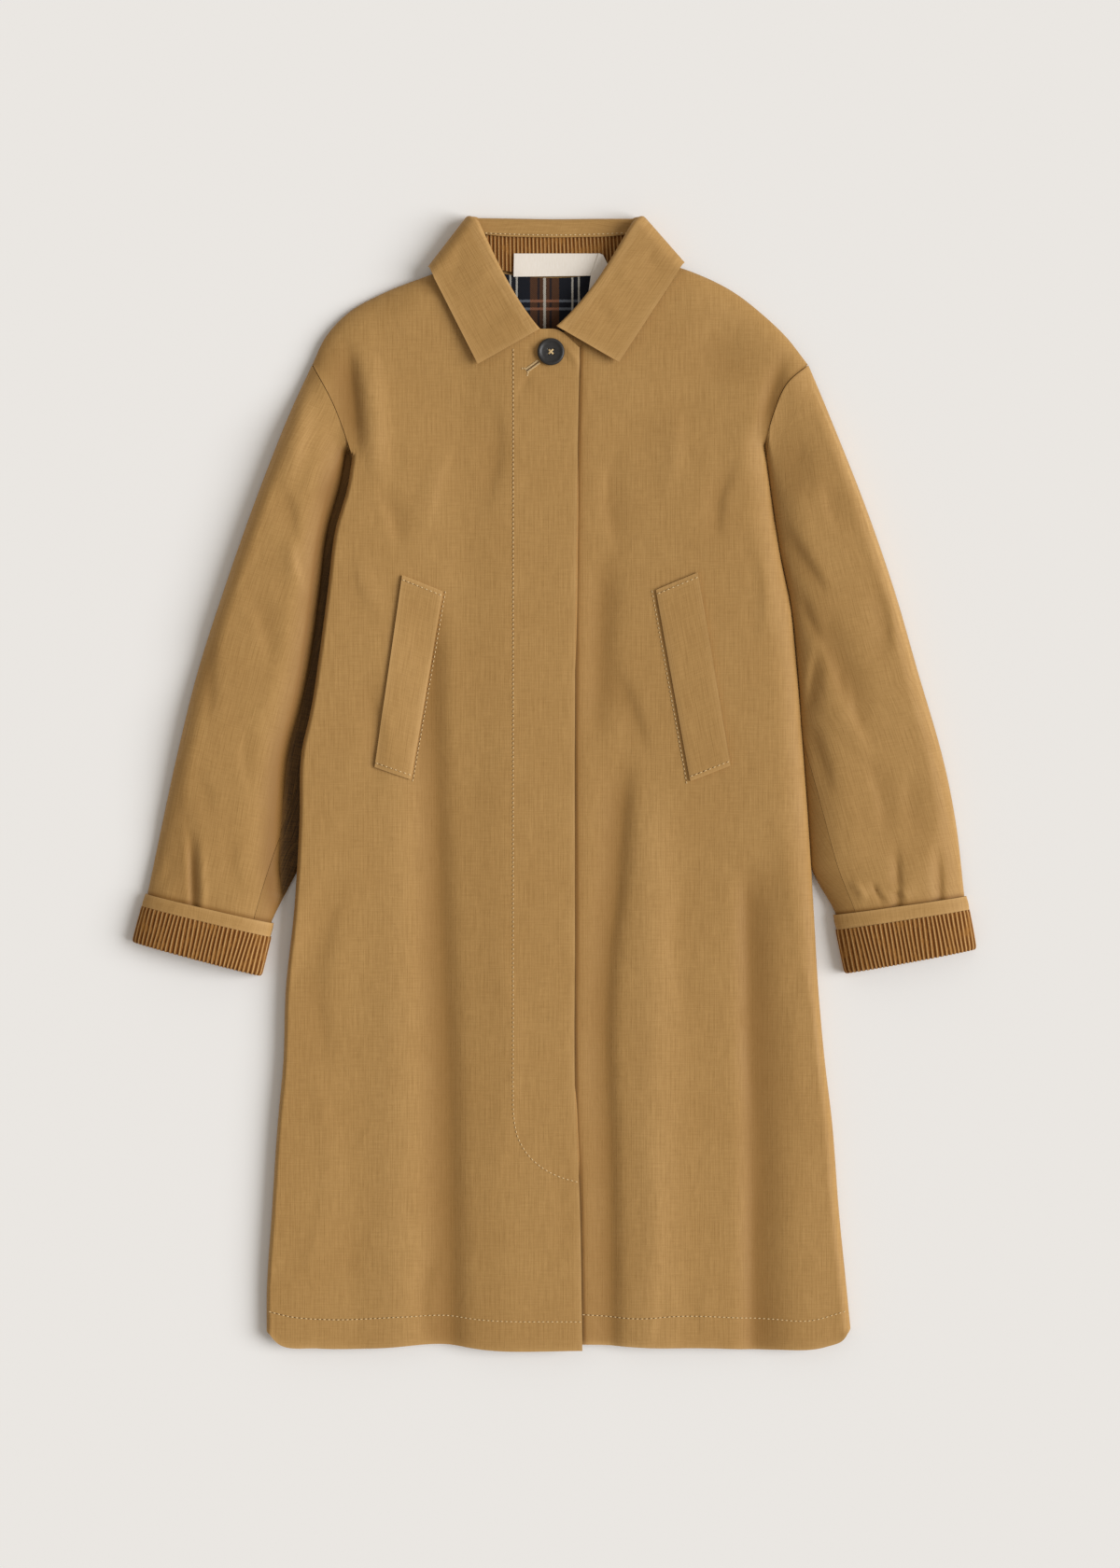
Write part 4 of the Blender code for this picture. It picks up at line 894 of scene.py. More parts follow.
def makeSleeve(name, sleeve):
    g = sleeveGrid
    v = np.concatenate([
        np.linspace(0, 1, g["topRows"]), np.linspace(1, sleeveLie["lastRow"], g["rows"])[1:]])
    values = through(sleeve["rows"], v, even=True)
    seam = values[:, 8][:, None]
    free = sleeveFree(sleeve, v)
    width = rowWidths(values)
    bend = 1 - g["bendIn"] / width
    end = seam - (g["seamGap"] + g["seamMore"] * (1 - smooth(v / g["seamRows"])))[:, None] / width
    knee = np.minimum(free, end - g["knee"])
    share = g["rollShare"]
    roll = share * np.linspace(0, 1, g["rollColumns"]) ** 2
    roll = np.concatenate([roll, np.linspace(share, 1, g["openColumns"])[1:]])
    flat = np.linspace(0, 1, g["flatColumns"])[None, 1:]
    u = np.concatenate([roll[None, :] * knee, knee + (end - knee) * flat], axis=1)
    plan, _, top, rub = sleeveHeight(sleeve, u, v)
    upper = np.dstack([plan, top, rub])
    beneath = np.linspace(g["lowFrom"], 1, g["lowColumns"])[None, :] * bend
    plan, low, _, _ = sleeveHeight(sleeve, beneath, v)
    bottom = np.dstack([plan, low, np.full(low.shape, 0.5)])
    knee = np.clip(free, seam + g["underKnee"], bend - g["underKnee"])
    turn = np.linspace(0, 1, g["turnColumns"])[None, :]
    above = np.concatenate([bend + (knee - bend) * turn, knee + (seam - knee) * turn[:, 1:]], axis=1)
    plan, _, top, rub = sleeveHeight(sleeve, above, v)
    # the under sleeve's turned-up part is painted a little darker as shade
    over = np.dstack([plan, top, rub - wearAndShadeMarks["underSleeveShade"]])
    turned = (bottom[:, -1:] + over[:, :1]) / 2
    lastStep = bottom[:, -1:, 0:2] - bottom[:, -2:-1, 0:2]
    turned[..., 0:2] += lastStep * (g["bendOut"] / width)[:, :, None]
    under = np.concatenate([bottom, turned, over], axis=1)
    if sleeve["turn"]:
        upper, under = upper[:, ::-1], under[:, ::-1]
    upper, under = upper[::-1], under[:, ::-1][::-1]
    for layer, grid, held, rests in (
            ("Upper", upper, "laid", ["sleeveUnder" + name]), ("Under", under, "folded", [])):
        middle = grid[..., :3]
        piece = clothPiece("sleeve" + layer + name, middle, lie["shell"], oilskin, rub=grid[..., 3])
        node = "sleeve_" + layer.lower() + "_" + name.lower()
        dress(piece, [node], middle)


for name in ("Left", "Right"):
    makeSleeve(name, sleeves[name.lower()])
print("sleeves made")


# Turned-up cuffs

cuffs = {  # outer x y, inner x y at the strip's top, the corduroy's top and the lower edge
    "wales": 66, "waleHeight": 1, "steps": 8, "topRise": 0.6, "raiseFade": 1.4,
    "waver": ((1.1, 15, 1.3), (0.5, 6, 2.5)),
    "crown": 16, "outerRound": 58, "innerRound": 48, "girthAt": 2.2, "scallop": 0.04, "faceUp": 0.3,
    "stripRows": 6, "stripColumns": 180, "stripGap": 0.03, "stripSwell": 0.35, "stripWide": 13,
    "cordRows": 11, "turnRows": 12, "tailRows": 3, "turnAt": 0.92, "tailEnd": 0.8, "cordWide": 38,
    "turnDrop": 0.4, "outside": (2.4, 0.11), "inside": (0.4, 0.055),  # radius, bulge at the lower edge
    "Left": {"turn": False, "corners": (
        (-392.2, -107.6, -273.8, -134.9), (-395.1, -119.9, -277.1, -148.2),
        (-402.9, -153, -286, -184))},
    "Right": {"turn": True, "corners": (
        (396.1, -109.6, 273.1, -127), (398.2, -123.1, 276.2, -141.7),
        (403.8, -159.6, 284.5, -181.6))},
}


def cuffLoop(width):
    base, rest = lie["shell"] / 2 + lie["cuffLift"], lie["edgeRest"]
    crown, outerRound, innerRound = cuffs["crown"], cuffs["outerRound"], cuffs["innerRound"]
    turn = np.linspace(0, math.pi / 2, 40)
    corner = np.linspace(0, math.pi / 2, 10)
    flat = np.linspace(1, 0, 80)
    ease = lie["ease"] * smooth(outerRound * (1 - np.cos(turn)) / width / lie["easeShare"])
    back = turn[::-1]
    loop = np.concatenate([
        np.stack([flat * width, 0 * flat + base, 0 * flat, 0 * flat - 1], 1),
        np.stack([0 * corner, 0 * corner + base, -np.sin(corner), -np.cos(corner)], 1),
        np.stack([outerRound * (1 - np.cos(turn)), base + rest + ease + crown * np.sin(turn),
                  -np.cos(turn) * crown, np.sin(turn) * outerRound], 1),
        np.stack([width - innerRound * (1 - np.cos(back)),
                  base + rest + lie["ease"] + crown * np.sin(back),
                  np.cos(back) * crown, np.sin(back) * innerRound], 1),
        np.stack([0 * corner + width, 0 * corner + base, np.cos(corner), -np.sin(corner)], 1),
    ])
    loop[:, 2:] /= np.linalg.norm(loop[:, 2:], axis=1, keepdims=True)
    return loop


def cuffRing(corners, shares, offsets, columns, raiseBy=None, ridge=0):
    top, bottom = np.array(corners[0]), np.array(corners[1])
    width = np.hypot(top[2] - top[0], top[3] - top[1])
    loop = cuffLoop(width)
    edge = loop[:, :2] + cuffs["girthAt"] * loop[:, 2:]
    steps = np.linalg.norm(np.diff(edge, axis=0, append=edge[:1]), axis=1)
    along = np.concatenate([[0], np.cumsum(steps)])
    closed = np.concatenate([loop, loop[:1]])
    at = np.arange(columns) / columns * along[-1]
    q, z, dq, dz = (np.interp(at, along, closed[:, k]) for k in range(4))
    waver, fine = cuffs["waver"]
    rows = []
    for k, (share, offset) in enumerate(zip(shares, offsets)):
        rise = np.zeros(columns) if raiseBy is None else raiseBy[k] * ridge
        out = offset + rise
        line = top + (bottom - top) * (share + cuffs["scallop"] * (share - 0.5) * rise)[:, None]
        bend = waver[0] * share * np.sin(at / waver[1] + waver[2])  # the wales run a little uneven
        bend = bend + fine[0] * np.sin(at / fine[1] + fine[2] * share)
        across = (q + dq * out + bend * (dz > cuffs["faceUp"])) / width
        plan = line[:, 0:2] + across[:, None] * (line[:, 2:4] - line[:, 0:2])
        rows.append(np.column_stack([plan, z + dz * out]))
    return np.array(rows), at


def cordTurn(c, start, radius, bulge):  # down the outside, round the lower edge and a little up inside
    bend = np.linspace(0, math.pi, c["turnRows"])
    down = np.linspace(0, c["turnAt"], c["cordRows"] + 1)[:-1]
    tail = np.linspace(c["turnAt"], c["tailEnd"], c["tailRows"] + 1)[1:]
    middle = start - c["turnDrop"]
    offsets = [np.full(len(down), middle + radius), middle + radius * np.cos(bend),
               np.full(len(tail), middle - radius)]
    shares = [down, c["turnAt"] + bulge * np.sin(bend), tail]
    raiseBy = [np.ones(len(down)), smooth((math.pi - bend) / c["raiseFade"]), np.zeros(len(tail))]
    return (np.concatenate(parts) for parts in (shares, offsets, raiseBy))


def ribs(columns, steps):  # height of each column on its rib, 0 to 1
    return np.abs(np.sin(np.pi * (np.arange(columns) % steps) / steps)) ** 0.7


def cuffWall(name, paint, order, outer, inner, at, down, worn=()):
    uv = np.stack(np.broadcast_arrays(at[None, :], down[:, None]), 2)
    piece = clothWall(name, outer[:, order], inner[:, order], uv[:, order], paint, True, worn)
    node = name.replace("cuff", "cuff_").replace("Left", "_left").replace("Right", "_right").lower()
    dress(piece, [node], (outer + inner) / 2)
    return piece


def makeCuff(name, cuff, c):
    corners, order = cuff["corners"], slice(None) if cuff["turn"] else slice(None, None, -1)
    start = lie["shell"] / 2 + lie["gap"]
    upper, lower = np.array(corners[0]), np.array(corners[1])
    strip = (upper, lower + (upper - lower) * c["stripGap"])
    shares = np.linspace(0, 1, c["stripRows"])
    swell = c["stripSwell"] * np.sin(np.pi * shares)
    outer, at = cuffRing(strip, shares, start + lie["strip"] + swell, c["stripColumns"])
    inner, _ = cuffRing(strip, shares, np.full(len(shares), start), c["stripColumns"])
    down = shares * c["stripWide"]
    cuffWall("cuffStrip" + name, oilskin, order, outer, inner, at, down, ("low", "top"))
    columns = c["wales"] * c["steps"]
    ridge = ribs(columns, c["steps"])
    shares, offsets, raiseBy = cordTurn(c, start, *c["outside"])
    raiseBy = c["waleHeight"] * raiseBy
    raiseBy[0] = c["topRise"] * c["waleHeight"]
    outer, at = cuffRing(corners[1:], shares, offsets, columns, raiseBy, ridge)
    innerShares, offsets, _ = cordTurn(c, start, *c["inside"])
    inner, _ = cuffRing(corners[1:], innerShares, offsets, columns)
    down = shares * c["cordWide"]
    piece = cuffWall("cuffCord" + name, corduroy, order, outer, inner, at, down)
    addWale(piece, np.repeat(ridge[order][None, :], len(shares), axis=0))


def addWale(piece, ridge):  # how high on a rib each point is, for the finish
    attribute = piece.data.attributes.new("wale", "FLOAT", "POINT")
    attribute.data.foreach_set("value", np.tile(ridge.ravel(), 2).astype(np.float32))


for name in ("Left", "Right"):
    makeCuff(name, cuffs[name], cuffs)
print("cuffs made")


# Collar and the inside of the neck

collar = {
    "roll": 3.5, "rollTip": 1.3, "rollFront": 21, "rollBack": 4.5, "fallDrop": 2, "fallBack": 62,
    "stripFront": 5, "stripBack": 13.5, "stripShares": (0.25, 0.5, 0.75, 1), "backRise": 5.2,
    "frontSteps": 30, "turnSteps": 22, "backSteps": 50, "fallRows": 26, "fallEnd": 0.06, "rollRows": 13,
    "clear": 0.8, "faceUp": 0.7, "creaseFrom": 0.3, "rubbed": 0.72,
    # tip on the roll line, corner at the top of the fold, the fold's lower end,
    # fall widths at tip and back, fall directions, bow of the roll line, side
    "halves": (
        ((-14, 436.5), (-83.2, 548.1), (-121.5, 498.5),
         68, 58, (-0.872, -0.489), (-0.612, -0.791), 4.4, -1),
        ((3.1, 439.2), (86, 548.1), (126, 502),
         68.5, 55, (0.867, -0.499), (0.662, -0.749), 5.4, 1)),
    "backLine": ((-40, 545), (0, 544.4), (40, 544.8)),
    "creases": (  # x0, y0, x1, y1, half width, rise
        (-52, 506, -88, 470, 7, 0.9), (-30, 462, -70, 432, 8, -0.8), (-86, 520, -106, 486, 6, -0.8),
        (52, 508, 92, 468, 7, 0.9), (24, 462, 66, 436, 8, -0.9), (88, 518, 110, 486, 6, -0.8)),
}


def unit(vector):
    return np.array(vector) / math.hypot(*vector)


def reachTo(start, direction, first, second):  # how far the line through two points lies in a direction
    sides = np.column_stack([direction, np.array(first) - np.array(second)])
    return float(np.linalg.solve(sides, np.array(first) - start)[0])


def flapFloor(x, y):
    return overHeight(x, y) + lie["shell"] / 2 - lie["overlap"] * smooth((x - 26) / 36)


def collarSections(c):
    middle, reach = (c["rollFront"] + c["rollBack"]) / 2, (c["rollFront"] - c["rollBack"]) / 2
    halves, folds = [], []
    for tip, corner, low, wide, narrow, fallTip, fallFold, bow, side in c["halves"]:
        outward = np.array((side * abs(fallFold[1]), abs(fallFold[0])))
        fold = np.array(corner) - outward * (reach + c["roll"] + lie["collar"] / 2)
        edge = (np.array(tip) + wide * np.array(fallTip), np.array(low))
        half = []
        for k in np.linspace(0, 1, c["frontSteps"]):
            fall = unit((1 - k) * np.array(fallTip) + k * np.array(fallFold))
            roll = c["rollTip"] + (c["roll"] - c["rollTip"]) * smooth(k / 0.7)
            point = (1 - k) * np.array(tip) + k * fold + bow * math.sin(math.pi * k ** 0.8) * fall
            width = reachTo(point, fall, *edge)
            height = c["rollFront"] + c["roll"] - roll
            half.append((point, height, (0, 0, 1), fall, width, c["stripFront"], roll))
        for turn in np.linspace(0, math.pi, c["turnSteps"])[1:]:
            point = fold + outward * reach * math.sin(turn)
            behind = float(smooth(turn / math.pi * 2 - 1))
            skin = point + outward * (c["roll"] + lie["collar"] / 2) * math.sin(turn)
            width = (1 - behind) * reachTo(skin, np.array(fallFold), *edge) + behind * narrow
            point = point + (0, c["backRise"] * behind)
            normal = (*(outward * math.sin(turn)), math.cos(turn))
            strip = c["stripFront"] + (c["stripBack"] - c["stripFront"]) * turn / math.pi
            height = middle + reach * math.cos(turn)
            half.append((point, height, normal, np.array(fallFold), width, strip, c["roll"]))
        halves.append(half)
        folds.append((fold + (0, c["backRise"]), np.array(fallFold), narrow))
    (left, fallLeft, wideLeft), (right, fallRight, wideRight) = folds
    back = []
    for k in np.linspace(0, 1, c["backSteps"])[1:-1]:
        point = through((left, *c["backLine"], right), [k])[0]
        start, end = 1 - smooth(k / 0.3), smooth((k - 0.7) / 0.3)
        rest = 1 - start - end
        fall = unit(start * fallLeft + end * fallRight + rest * np.array((0, -1)))
        wide = start * wideLeft + end * wideRight + rest * c["fallBack"]
        back.append((point, c["rollBack"], (0, 0, -1), fall, wide, c["stripBack"], c["roll"]))
    return halves[0] + back + halves[1][::-1]


def makeCollar(c):
    shares = np.linspace(1, c["fallEnd"], c["fallRows"])
    turns = np.linspace(math.pi, 0, c["rollRows"])
    sections = collarSections(c)
    grid = []
    for point, height, normal, fall, wide, strip, roll in sections:
        n, w = np.array(normal), np.array((*fall, 0))
        centre = np.array((*point, height)) + w * roll
        drop = c["fallDrop"] * max(normal[2], 0)
        row = [centre + n * (roll - drop * smooth(k)) + w * (wide - roll) * k for k in shares]
        row += [centre - roll * (n * math.cos(a) + w * math.sin(a)) for a in turns]
        row += [centre - n * roll + w * strip * k for k in c["stripShares"]]
        grid.append(row)
    grid = np.array(grid)
    count = len(shares)
    flap = grid[:, :count]
    up = (np.array([section[2][2] for section in sections]) > c["faceUp"])[:, None]
    floor = onPlan(flapFloor, flap) + c["clear"] + lie["collar"] / 2
    crease = onPlan(creaseHeight, flap, bowed(c["creases"])) * smooth(shares / c["creaseFrom"])
    flap[..., 2] = np.where(up, np.maximum(flap[..., 2] + crease, floor), flap[..., 2])
    rub = np.full(grid.shape[:2], 0.5)
    rub[:, count - 2:count + 6] = c["rubbed"]  # the roll rubs
    piece = clothPiece("collarFold", grid, lie["collar"], oilskin, None, ("left", "low", "top"), rub)
    dress(piece, ["collar"], grid)


neck = {
    "wales": 38, "waleHeight": 0.7, "steps": 8, "standTop": 533, "standHalf": 70, "standRows": 14,
    "standFrom": 0.1, "standUp": 2, "liningFrom": 0.2, "liningDown": 1, "liningGap": 0.5,
    "liningLow": (-52, 54, 398), "liningColumns": 60, "liningRows": 50,
    "tapeGap": 0.3, "tapeRows": 20, "tapeColumns": 40, "tapeSwell": 0.5, "ripple": 0.4, "rippleLong": 9,
    # rows of left and right corner, and height above the stand; the tail is folded over the tape's end
    "labels": (
        ("labelTape", "label_tape", 0, (((-39, 489.4), (37.6, 490.4)), ((-38.6, 511.8), (44, 511.8)))),
        ("labelTail", "label_tail", 1.3, (
            ((32.2, 466), (41.5, 466)), ((35.6, 490), (54, 497)), ((43.4, 512), (47.5, 510.4))))),
}


def makeStand(n):  # returns the height of its middle
    columns, count = n["wales"] * n["steps"] + 1, n["standRows"]
    shares = np.linspace(0, 1, columns)
    sewn = n["standFrom"] + (1 - 2 * n["standFrom"]) * shares
    bottom = through(body["backNeck"], sewn) + (0, n["standUp"])
    top = np.column_stack([n["standHalf"] * (2 * shares - 1), np.full(columns, n["standTop"])])
    stand = collar["rollBack"] + collar["roll"] - lie["collar"] / 2 - lie["gap"]
    stand = stand - n["waleHeight"] - lie["cord"] / 2
    along = np.linspace(0, 1, count)[:, None, None]
    plan = bottom[None] + (top - bottom)[None] * along
    middle = np.dstack([plan, np.full((count, columns), stand)])
    ridge = ribs(columns, n["steps"])
    up = np.array((0, 0, lie["cord"] / 2))
    outer = middle + up
    outer[..., 2] += n["waleHeight"] * ridge
    piece = clothWall("collarStand", outer, middle - up, np.stack(arcs(middle), 2), corduroy)
    addWale(piece, np.repeat(ridge[None, :], count, axis=0))
    dress(piece, ["collar_stand"], middle)
    return stand


def makeLining(n):
    across, along = np.linspace(0, 1, n["liningColumns"]), np.linspace(0, 1, n["liningRows"])
    shares = n["liningFrom"] + (1 - 2 * n["liningFrom"]) * across
    top = through(body["backNeck"], shares) - (0, n["liningDown"])
    lowLeft, lowRight, lowY = n["liningLow"]
    bottom = np.column_stack([lowLeft + (lowRight - lowLeft) * across, np.full(len(across), lowY)])
    left, right = (bottom[k] + (top[k] - bottom[k]) * along[:, None] for k in (0, -1))
    plan = patch(left, right, bottom, top, across, along)
    rest = lie["shell"] / 2 + n["liningGap"] + lie["lining"] / 2
    middle = raised(plan, lambda x, y: backHeight(x, y) + rest)
    piece = clothPiece("backLining", middle, lie["lining"], check, plan)
    dress(piece, ["back_lining"], middle)


def makeLabels(n, stand):
    height = stand + lie["cord"] / 2 + n["waleHeight"] + n["tapeGap"] + lie["tape"] / 2
    for name, node, lift, corners in n["labels"]:
        rows = np.array(corners)
        number = np.arange(len(rows))
        v = np.linspace(0, len(rows) - 1, n["tapeRows"])
        left, right = (
            np.stack([np.interp(v, number, rows[:, side, k]) for k in (0, 1)], 1) for side in (0, 1))
        u = np.linspace(0, 1, n["tapeColumns"])[None, :, None]
        plan = left[:, None] + (right - left)[:, None] * u
        ripple = 1 + n["ripple"] * np.sin(plan[..., 0] / n["rippleLong"])
        swell = n["tapeSwell"] * np.sin(np.pi * v / v[-1])[:, None] * ripple
        middle = np.dstack([plan, height + lift + swell])
        piece = clothPiece(name, middle, lie["tape"], tape, plan)
        dress(piece, [node], middle)


makeCollar(collar)
standHeight = makeStand(neck)
makeLining(neck)
makeLabels(neck, standHeight)
print("collar and neck made")


# Pocket welts

welts = {  # top left, top right, low left, low right, and which long edge is open
    "Left": {
        "corners": ((-146, 200), (-107, 184.5), (-172.5, 15.5), (-138, 3.5)),
        "open": 0, "height": overHeight, "rests": "frontOver"},
    "Right": {
        "corners": ((98.5, 186), (138.5, 202.5), (131.5, 2), (170, 17)),
        "open": 1, "height": frontHeight, "rests": "frontUnder"},
}
weltForm = {
    "clear": 0.9, "low": 0.5, "swell": 0.9, "wide": 40, "long": 180, "sideRound": 10, "endRound": 9,
    "rows": 90, "columns": 26,
}


def weltPlan(welt, u, v):
    topLeft, topRight, lowLeft, lowRight = (np.array(corner) for corner in welt["corners"])
    left = lowLeft + (topLeft - lowLeft) * v[..., None]
    right = lowRight + (topRight - lowRight) * v[..., None]
    return left + (right - left) * u[..., None]


def weltHeight(welt, plan, u, v):
    f = weltForm
    rest = lie["shell"] / 2 + f["clear"] + lie["welt"] / 2
    sewn = 1 - u if welt["open"] == 0 else u
    low, top = (rounded(share * f["long"], f["endRound"]) for share in (v, 1 - v))
    swell = f["swell"] * rounded(sewn * f["wide"], f["sideRound"]) * low * top
    return onPlan(welt["height"], plan) + rest - f["low"] + swell


def makeWelt(name, welt):
    shares = (np.linspace(0, 1, weltForm[count]) for count in ("rows", "columns"))
    v, u = np.meshgrid(*shares, indexing="ij")
    plan = weltPlan(welt, u, v)
    middle = np.dstack([plan, weltHeight(welt, plan, u, v)])
    worn = ("left", "right", "low", "top")
    piece = clothPiece("welt" + name, middle, lie["welt"], oilskin, None, worn)
    dress(piece, ["welt_" + name.lower()], middle)


for name in ("Left", "Right"):
    makeWelt(name, welts[name])
print("welts made")


# Button with its thread

button = {
    "steps": 72, "clear": 0.6, "underside": 0.6, "face": 2.2, "angle": 40,
    "hole": 0.95, "spacing": 2.1, "holeFrom": -2, "holeTo": 8, "holeSides": 20,
    # crossed from hole to hole: x and y way, shift beside the other strand
    "strands": ((1, 1, -0.3), (1, 1, 0.3), (1, -1, -0.3), (1, -1, 0.3)),
    "thread": 0.42, "strandSteps": 14, "strandFrom": 1.2, "strandRise": 1.7, "crossRise": 0.3,
    # half outline: radius, height
    "outline": (
        (9, 0), (11, 0.2), (12.4, 0.9), (13.1, 1.7), (13.1, 2.3), (12.7, 3.1), (12, 3.6),
        (11.2, 3.8), (10.4, 3.6), (9.7, 3.1), (9, 2.7), (8, 2.5), (5, 2.3)),
}


def buttonRing(radius, height, steps, middle=buttonAt):
    angles = np.arange(steps) * 2 * math.pi / steps
    x, y = middle[0] + radius * np.cos(angles), middle[1] + radius * np.sin(angles)
    return np.column_stack([x, y, np.full(steps, height)])


def makeHole(b, base, middle):  # a round bar that is cut out of the button
    sides = b["holeSides"]
    ends = (base + b["holeFrom"], base + b["holeTo"])
    points = np.concatenate([buttonRing(b["hole"], height, sides, middle) for height in ends])
    faces = [(k, (k + 1) % sides, sides + (k + 1) % sides, sides + k) for k in range(sides)]
    faces += [tuple(range(sides))[::-1], tuple(range(sides, 2 * sides))]
    return pieceMesh("hole", points, faces, horn)


def makeButton(b):
    base = float(overHeight(*(np.array(place) for place in buttonAt))) + lie["shell"] / 2 + b["clear"]
    steps = b["steps"]
    outline = b["outline"]
    centres = [(*buttonAt, base + b["underside"]), (*buttonAt, base + b["face"])]
    points = np.concatenate([buttonRing(r, base + h, steps) for r, h in outline] + [centres])
    faces = []
    for k in range(steps):
        n = (k + 1) % steps
        faces.append((len(points) - 2, n, k))
        for level in range(len(outline) - 1):
            a, c = level * steps, (level + 1) * steps
            faces.append((a + k, a + n, c + n, c + k))
        top = (len(outline) - 1) * steps
        faces.append((top + k, top + n, len(points) - 1))
    piece = pieceMesh("neckButton", points, faces, horn, angle=b["angle"])
    ways = (-b["spacing"], b["spacing"])
    holes = [makeHole(b, base, (buttonAt[0] + dx, buttonAt[1] + dy)) for dx in ways for dy in ways]
    for hole in holes:
        cut = piece.modifiers.new("hole", "BOOLEAN")
        cut.operation, cut.solver, cut.object = "DIFFERENCE", "EXACT", hole
    applyModifiers(piece)
    for hole in holes:
        bpy.data.objects.remove(hole)
    dress(piece, ["button"])
    strands = []
    t = np.linspace(0, math.pi, b["strandSteps"])
    for dx, dy, shift in b["strands"]:
        x = buttonAt[0] - dx * b["spacing"] * np.cos(t) - shift * dy
        y = buttonAt[1] - dy * b["spacing"] * np.cos(t) + shift
        z = base + b["strandFrom"] + (b["strandRise"] + b["crossRise"] * (dy > 0)) * np.sin(t) ** 0.5
        strands.append(np.column_stack([x, y, z]))
    dress(tubes("buttonThread", strands, b["thread"], thread), [])


def applyModifiers(piece):
    shaped = piece.evaluated_get(bpy.context.evaluated_depsgraph_get())
    plain = bpy.data.meshes.new_from_object(shaped)
    piece.modifiers.clear()
    piece.data = plain


def tubes(name, strands, radius, paint, sides=8):
    points, faces = [], []
    for strand in strands:
        along = np.gradient(strand, axis=0)
        along /= np.linalg.norm(along, axis=1, keepdims=True)
        side = np.cross(along, (1, 0.02, 0.03))
        side /= np.linalg.norm(side, axis=1, keepdims=True)
        up = np.cross(along, side)
        first = len(points)
        for k in range(len(strand)):
            for s in range(sides):
                a = 2 * math.pi * s / sides
                points.append(strand[k] + radius * (side[k] * math.cos(a) + up[k] * math.sin(a)))
        for k in range(len(strand) - 1):
            for s in range(sides):
                n = (s + 1) % sides
                a, c = first + k * sides, first + (k + 1) * sides
                faces.append((a + s, a + n, c + n, c + s))
        faces.append(tuple(first + s for s in range(sides))[::-1])
        last = first + (len(strand) - 1) * sides
        faces.append(tuple(last + s for s in range(sides)))
    return pieceMesh(name, np.array(points), faces, paint)


makeButton(button)
print("button made")


# Stitching: rows of stitches along lines on the cloth

# Stitches are drawn longer and thicker than real, and further apart, so that they show
stitching = {
    "pitch": 4.4, "long": 2.9, "thick": 1.15, "sink": 0.35,
    "hole": 1.7, "holeThick": 1.1, "holeSink": 0.35,
    "weltEnds": (0.022, 0.978), "weltSides": (1.06, -0.095), "weltFrom": 0.05, "step": 3,
    "fly": (
        (-39.2, 417), (-39.2, 300), (-39.2, 100), (-39.2, -150), (-39.2, -250), (-39.2, -296),
        (-38.6, -321), (-34.7, -341), (-24.8, -358.2), (-9.5, -371.7), (6.8, -379.8), (21.5, -384)),
    "hemOver": (
        (-274, -510), (-258, -514), (-216.5, -517.5), (-142.7, -514.8),
        (-106.7, -514), (-72.5, -517.5), (25, -519.3)),
    "hemUnder": (
        (28.6, -513), (81.5, -516.6), (119.3, -514.4), (210.2, -517.5), (248, -518.4), (280, -510)),
    "back": ((-70, 531.4), (-40, 530.2), (2, 529.4), (40, 530.2), (70, 531.4)),
}


def stitchTree(name, paint):
    tree = bpy.data.node_groups.new(name, "GeometryNodeTree")
    face = tree.interface
    face.new_socket("Geometry", in_out="INPUT", socket_type="NodeSocketGeometry")
    for label in ("Pitch", "Start", "Long", "Thick", "Turn"):
        face.new_socket(label, in_out="INPUT", socket_type="NodeSocketFloat")
    face.new_socket("Geometry", in_out="OUTPUT", socket_type="NodeSocketGeometry")
    add = partial(addNode, tree)
    given = add("NodeGroupInput", take=None).outputs
    curve = add("GeometryNodeMeshToCurve", i0=given["Geometry"])
    trimmed = add("GeometryNodeTrimCurve", {"mode": "LENGTH"}, Curve=curve, i4=given["Start"], i5=9)
    even = add("GeometryNodeResampleCurve", {"mode": "LENGTH"}, Curve=trimmed, Length=given["Pitch"])
    ball = add("GeometryNodeMeshUVSphere", take="Mesh", Segments=6, Rings=4, Radius=0.5)
    wide = add("ShaderNodeCombineXYZ", X=given["Long"], Y=given["Thick"], Z=given["Thick"])
    tangent = add("GeometryNodeInputTangent")
    aim = add("FunctionNodeAlignRotationToVector", {"axis": "X"}, Vector=tangent)
    slant = add("ShaderNodeCombineXYZ", Z=given["Turn"])
    local = {"rotation_space": "LOCAL"}
    turned = add("FunctionNodeRotateRotation", local, Rotation=aim, Rotate_By=slant)
    placed = add(
        "GeometryNodeInstanceOnPoints", Points=even, Instance=ball, Rotation=turned, Scale=wide)
    real = add("GeometryNodeRealizeInstances", i0=placed)
    painted = add("GeometryNodeSetMaterial", Geometry=real, Material=paint)
    add("NodeGroupOutput", take=None, i0=painted)
    return tree


def stitchRows(name, rows, tree, start, sizes, turn=0.0):  # sizes in mm: pitch, length, thickness
    points = np.concatenate(rows)
    edges = []
    first = 0
    for row in rows:
        edges += [(first + k, first + k + 1) for k in range(len(row) - 1)]
        first += len(row)
    mesh = bpy.data.meshes.new(name)
    mesh.from_pydata(((points + tableShift) * mm).tolist(), edges, [])
    made = bpy.data.objects.new(name, mesh)
    bpy.context.scene.collection.objects.link(made)
    modifier = made.modifiers.new("stitches", "NODES")
    modifier.node_group = tree
    pitch, long, thick = (size * mm for size in sizes)
    given = {"Pitch": pitch, "Start": start * pitch, "Long": long, "Thick": thick, "Turn": turn}
    for socket in tree.interface.items_tree:
        if socket.in_out == "INPUT" and socket.name in given:
            modifier[socket.identifier] = given[socket.name]
    applyModifiers(made)
    made.data.shade_smooth()
    dress(made, [])


